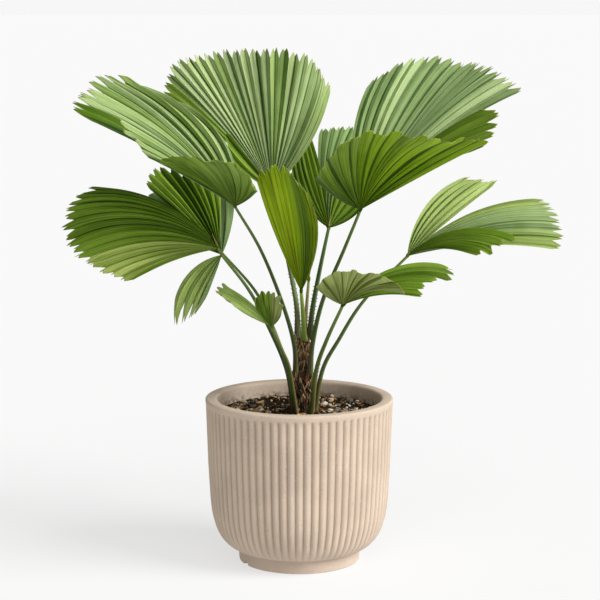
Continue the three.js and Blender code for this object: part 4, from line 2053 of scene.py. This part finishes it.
@dataclass
class Stalk:
    """A leaf stalk: a tapered, slightly flattened tube with a shallow channel and thorns."""

    frond: Frond
    seed: int
    foot: float = 4.9
    middle: float = 3.9
    neck: float = 2.6
    middle_at: float = 0.35
    swell: float = 0.28
    swell_to: float = 0.16
    flat: float = 0.84
    channel: float = 0.28
    channel_width: float = 0.55
    rows: int = 64
    sides: int = 18
    thorn_pitch: float = 6.5
    thorn_size: float = 3.7
    thorn_rows: int = 6
    thorny: float = 0.46
    thorn_inset: float = 0.92
    thorn_girth: float = 0.30

    def route(self) -> np.ndarray:
        """The CAD stalk's curve from foot to hub, at points an even length apart.

        Returns:
            (rows, 3).
        """
        rows = np.array([*self.frond.via, self.frond.hub], float)
        dense = catmull(rows, np.linspace(0.0, 1.0, 800))
        strides = np.linalg.norm(np.diff(dense, axis=0), axis=1)
        length = np.concatenate([[0.0], np.cumsum(strides)])
        even = np.linspace(0.0, length[-1], self.rows)
        return np.stack([np.interp(even, length, dense[:, k]) for k in range(3)], axis=-1)

    def girth(self, t: np.ndarray) -> np.ndarray:
        """Its radius along its length: foot to middle to neck, two straight tapers."""
        rising = np.interp(t, [0.0, self.middle_at, 1.0], [self.foot, self.middle, self.neck])
        return rising * self.frond.slim

    def frames(self, path: np.ndarray) -> tuple[np.ndarray, np.ndarray, np.ndarray]:
        """Along it, to its side and out of it, the last towards the stem's side.

        Args:
            path: The stalk's centre line.

        Returns:
            Along, side and out at each of its points.
        """
        foot, hub = self.frond.via[0], self.frond.hub
        outward = unit(np.array([hub[0] - foot[0], hub[1] - foot[1], 0.0]) + 1e-6)
        return frames_along(path, -outward)

    def shaft(self, path: np.ndarray) -> Shape:
        """Section: x = r cos a, y = flat r sin a, dented by a narrow hump on its upper side.

        Args:
            path: The stalk's centre line.

        Returns:
            The closed tube.
        """
        t = np.linspace(0.0, 1.0, self.rows)
        radius = self.girth(t)
        sheath = 1.0 + self.swell * (1.0 - smooth(0.0, self.swell_to, t))
        _, side, out = self.frames(path)
        angle = around(self.sides)
        off_top = (angle - math.pi / 2.0) / self.channel_width
        dent = 1.0 - self.channel * np.exp(-(off_top**2))
        x = np.cos(angle) * radius * sheath
        y = np.sin(angle) * radius * self.flat * dent
        points = path + x[..., None] * side + y[..., None] * out
        # the side towards +x, where the edge colour partly paints the light from the right
        right = 0.5 + 0.5 * (points - path)[..., 0] / np.maximum(radius, 1e-6)
        trait = together(t, right, 0.0)
        return turned(points[::-1], trait[::-1])

    def thorns(self, path: np.ndarray) -> Shape:
        """Small hooks on both margins of the lower part, each a bent five-sided cone.

        Args:
            path: The stalk's centre line.

        Returns:
            All thorns.
        """
        rng = np.random.default_rng(self.seed)
        length = float(np.linalg.norm(np.diff(path, axis=0), axis=1).sum())
        count = max(2, int(length * self.thorny / self.thorn_pitch))
        share = (np.arange(count) + 0.6) * self.thorn_pitch / length
        share = np.repeat(share + rng.normal(scale=0.004, size=count), 2)
        hand = np.tile([1.0, -1.0], count)[:, None]
        tangent, side, _ = self.frames(path)
        index = np.clip(share, 0.0, 1.0) * (self.rows - 1)
        low = np.clip(index.astype(int), 0, self.rows - 2)
        place = lerp(path[low], path[low + 1], (index - low)[:, None])
        place = place + self.girth(share)[:, None] * self.thorn_inset * hand * side[low]
        size = self.thorn_size * self.frond.slim * rng.uniform(0.75, 1.15, (len(share), 1))
        t = np.linspace(0.0, 1.0, self.thorn_rows)
        outwards = (hand * side[low])[:, None] * (t * 0.95 - 0.15)[:, None]
        hooked = tangent[low][:, None] * (0.35 * t**2 * rng.choice([1.0, 1.0, -0.4]))[:, None]
        paths = place[:, None] + size[:, None] * (outwards + hooked)
        thick = self.thorn_girth * size * (1.0 - 0.94 * t)
        return strands(paths, thick, 5, np.tile([0.1, 0.5, 1.0], (len(share), 1)))

    def build(self) -> None:
        """The shaft with its thorns, as one piece in place of its CAD node."""
        path = self.route()
        node = f"{self.frond.place}_stalk"
        skin = self.frond.skin
        finish = StalkFinish(f"{node}_skin", skin.foot, skin.body, skin.tip, skin.edge)
        shape = Shape.joined([self.shaft(path), self.thorns(path)])
        put(f"{node}_skin", shape, [finish.material()], "stalk", [node])


@dataclass
class Costa:
    """The brown ridge that a stalk sends into its fan."""

    frond: Frond
    seed: int
    rows: int = 20
    sides: int = 10
    back: float = 3.0
    lift: float = 1.0
    girth: float = 1.7
    point: float = 0.2

    def build(self, finish: bpy.types.Material) -> None:
        """A tapering tube along the lobe's middle ray, lifted a little to the shown side.

        Args:
            finish: Its material.
        """
        frond = self.frond
        fan = Fan(frond.place, frond.hub, Blade("costa", ()), self.seed)
        rays = catmull(np.array(frond.blades[0].lobes[-1].rays, float), np.array([0.5]))
        path = fan.walk(rays, np.linspace(-self.back, frond.costa, self.rows)[None, :])[0]
        t = np.linspace(0.0, 1.0, self.rows)
        radius = self.girth * (1.0 - t) ** 0.8 + self.point
        trait = together(0.5, t, 0.6)
        shape = tube(path + TO_VIEWER * self.lift, radius, self.sides, TO_VIEWER, trait)
        put(f"{frond.place}_costa", shape, [finish], "stalk")


@dataclass
class Crown:
    """All fronds: their stalks, fans and costas."""

    fronds: tuple[Frond, ...] = FRONDS

    def build(self) -> None:
        """Each frond in turn, all with the same leaflet finishes."""
        leaflets = Palette()
        ridge = FibreFinish("costa_brown", (92, 84, 36), (150, 138, 72), 0.6).material()
        for number, frond in enumerate(self.fronds):
            Stalk(frond, 100 + number).build()
            for order, blade in enumerate(frond.blades):
                fan = Fan(frond.place, frond.hub, blade, 1000 + 10 * number + order)
                fan.build(leaflets, frond.slot)
            if frond.costa:
                Costa(frond, number).build(ridge)


# ---------------------------------------------------------------- studio


@dataclass(frozen=True)
class Sun:
    """A soft light from far away: its direction from the object, its power and its width.

    The power is that on a face turned to it, and the width is in degrees.
    """

    name: str
    towards: Row
    strength: float
    width: float

    def build(self) -> None:
        """Puts the light into the scene."""
        data = bpy.data.lights.new(self.name, "SUN")
        data.energy = self.strength
        data.angle = math.radians(self.width)
        light = bpy.data.objects.new(self.name, data)
        x, y, z = unit(np.array(self.towards, float))
        light.rotation_euler = (math.acos(z), 0.0, math.atan2(x, -y))
        bpy.context.scene.collection.objects.link(light)


@dataclass
class Studio:
    """A wide pale floor, soft light from the right and the front, and the camera."""

    camera_place: Row = (1.2, -2935.8, 874.4)
    camera_pitch: float = 8.77
    lens: float = 112.2
    sensor: float = 36.0
    far: float = 1000.0
    floor_radius: float = 500.0
    floor_rings: int = 24
    floor_sectors: int = 96
    floor_colour: Row = (0.26, 0.26, 0.258, 1.0)
    floor_glow: float = 0.63
    sky_light: float = 0.29
    backdrop: float = 0.93
    suns: tuple[Sun, ...] = (
        Sun("right_light", (0.78, -0.34, 0.62), 3.75, 34.0),
        Sun("front_light", (0.12, -0.7, 0.72), 1.0, 46.0),
    )

    def camera(self) -> None:
        """A level camera that looks down by its pitch."""
        data = bpy.data.cameras.new("view")
        data.lens = self.lens
        data.sensor_width = self.sensor
        data.clip_end = self.far
        camera = bpy.data.objects.new("view", data)
        camera.location = [value * MM for value in self.camera_place]
        camera.rotation_euler = (math.radians(90.0 - self.camera_pitch), 0.0, 0.0)
        bpy.context.scene.collection.objects.link(camera)
        bpy.context.scene.camera = camera

    def floor(self) -> None:
        """A disc of rings in metres, with a finish that keeps it pale in the shade."""
        rings, sectors = self.floor_rings, self.floor_sectors
        radius = np.linspace(0.12, 1.0, rings) ** 4 * self.floor_radius
        disc = wheel(radius, around(sectors), 0.0).reshape(-1, 3)
        points = np.vstack([disc, [[0.0, 0.0, 0.0]]])
        faces = np.vstack([
            grid_faces(sectors, rings, wrap=True, flip=True),
            cap_faces(np.arange(sectors) * rings, len(points) - 1),
        ])
        corners = [[corner for corner in face if corner >= 0] for face in faces.tolist()]
        mesh = bpy.data.meshes.new("floor")
        mesh.from_pydata(points.tolist(), [], corners)
        shader = Shader("studio_floor", {
            "Emission Color": (1.0, 1.0, 1.0, 1.0),
            "Emission Strength": self.floor_glow,
            "Specular IOR Level": 0.1,
        })
        mesh.materials.append(shader.finish(self.floor_colour, 0.9))
        floor = bpy.data.objects.new("floor", mesh)
        bpy.context.scene.collection.objects.link(floor)

    def sky(self) -> None:
        """A pale backdrop for the camera, and a dimmer one for the light it gives."""
        world = bpy.data.worlds.new("studio")
        world.use_nodes = True
        nodes, links = world.node_tree.nodes, world.node_tree.links
        dim = nodes["Background"]
        dim.inputs["Color"].default_value = (1.0, 1.0, 1.0, 1.0)
        dim.inputs["Strength"].default_value = self.sky_light
        pale = nodes.new("ShaderNodeBackground")
        pale.inputs["Color"].default_value = (self.backdrop, self.backdrop, self.backdrop, 1.0)
        path = nodes.new("ShaderNodeLightPath")
        mix = nodes.new("ShaderNodeMixShader")
        links.new(path.outputs["Is Camera Ray"], mix.inputs[0])
        links.new(dim.outputs[0], mix.inputs[1])
        links.new(pale.outputs[0], mix.inputs[2])
        links.new(mix.outputs[0], nodes["World Output"].inputs["Surface"])
        bpy.context.scene.world = world

    def build(self) -> None:
        """Floor, backdrop, lights and camera."""
        bpy.context.scene.view_settings.view_transform = "Standard"
        self.floor()
        self.sky()
        for sun in self.suns:
            sun.build()
        self.camera()


def main() -> None:
    """Builds studio, pot, soil, trunk and crown, and reports each piece."""
    logging.basicConfig(level=logging.INFO, format="%(name)s %(message)s")
    for part in (Studio(), Pot(), Soil(), Trunk(), Crown()):
        part.build()
        LOG.info("%s done", type(part).__name__)


if __name__ == "__main__":
    main()
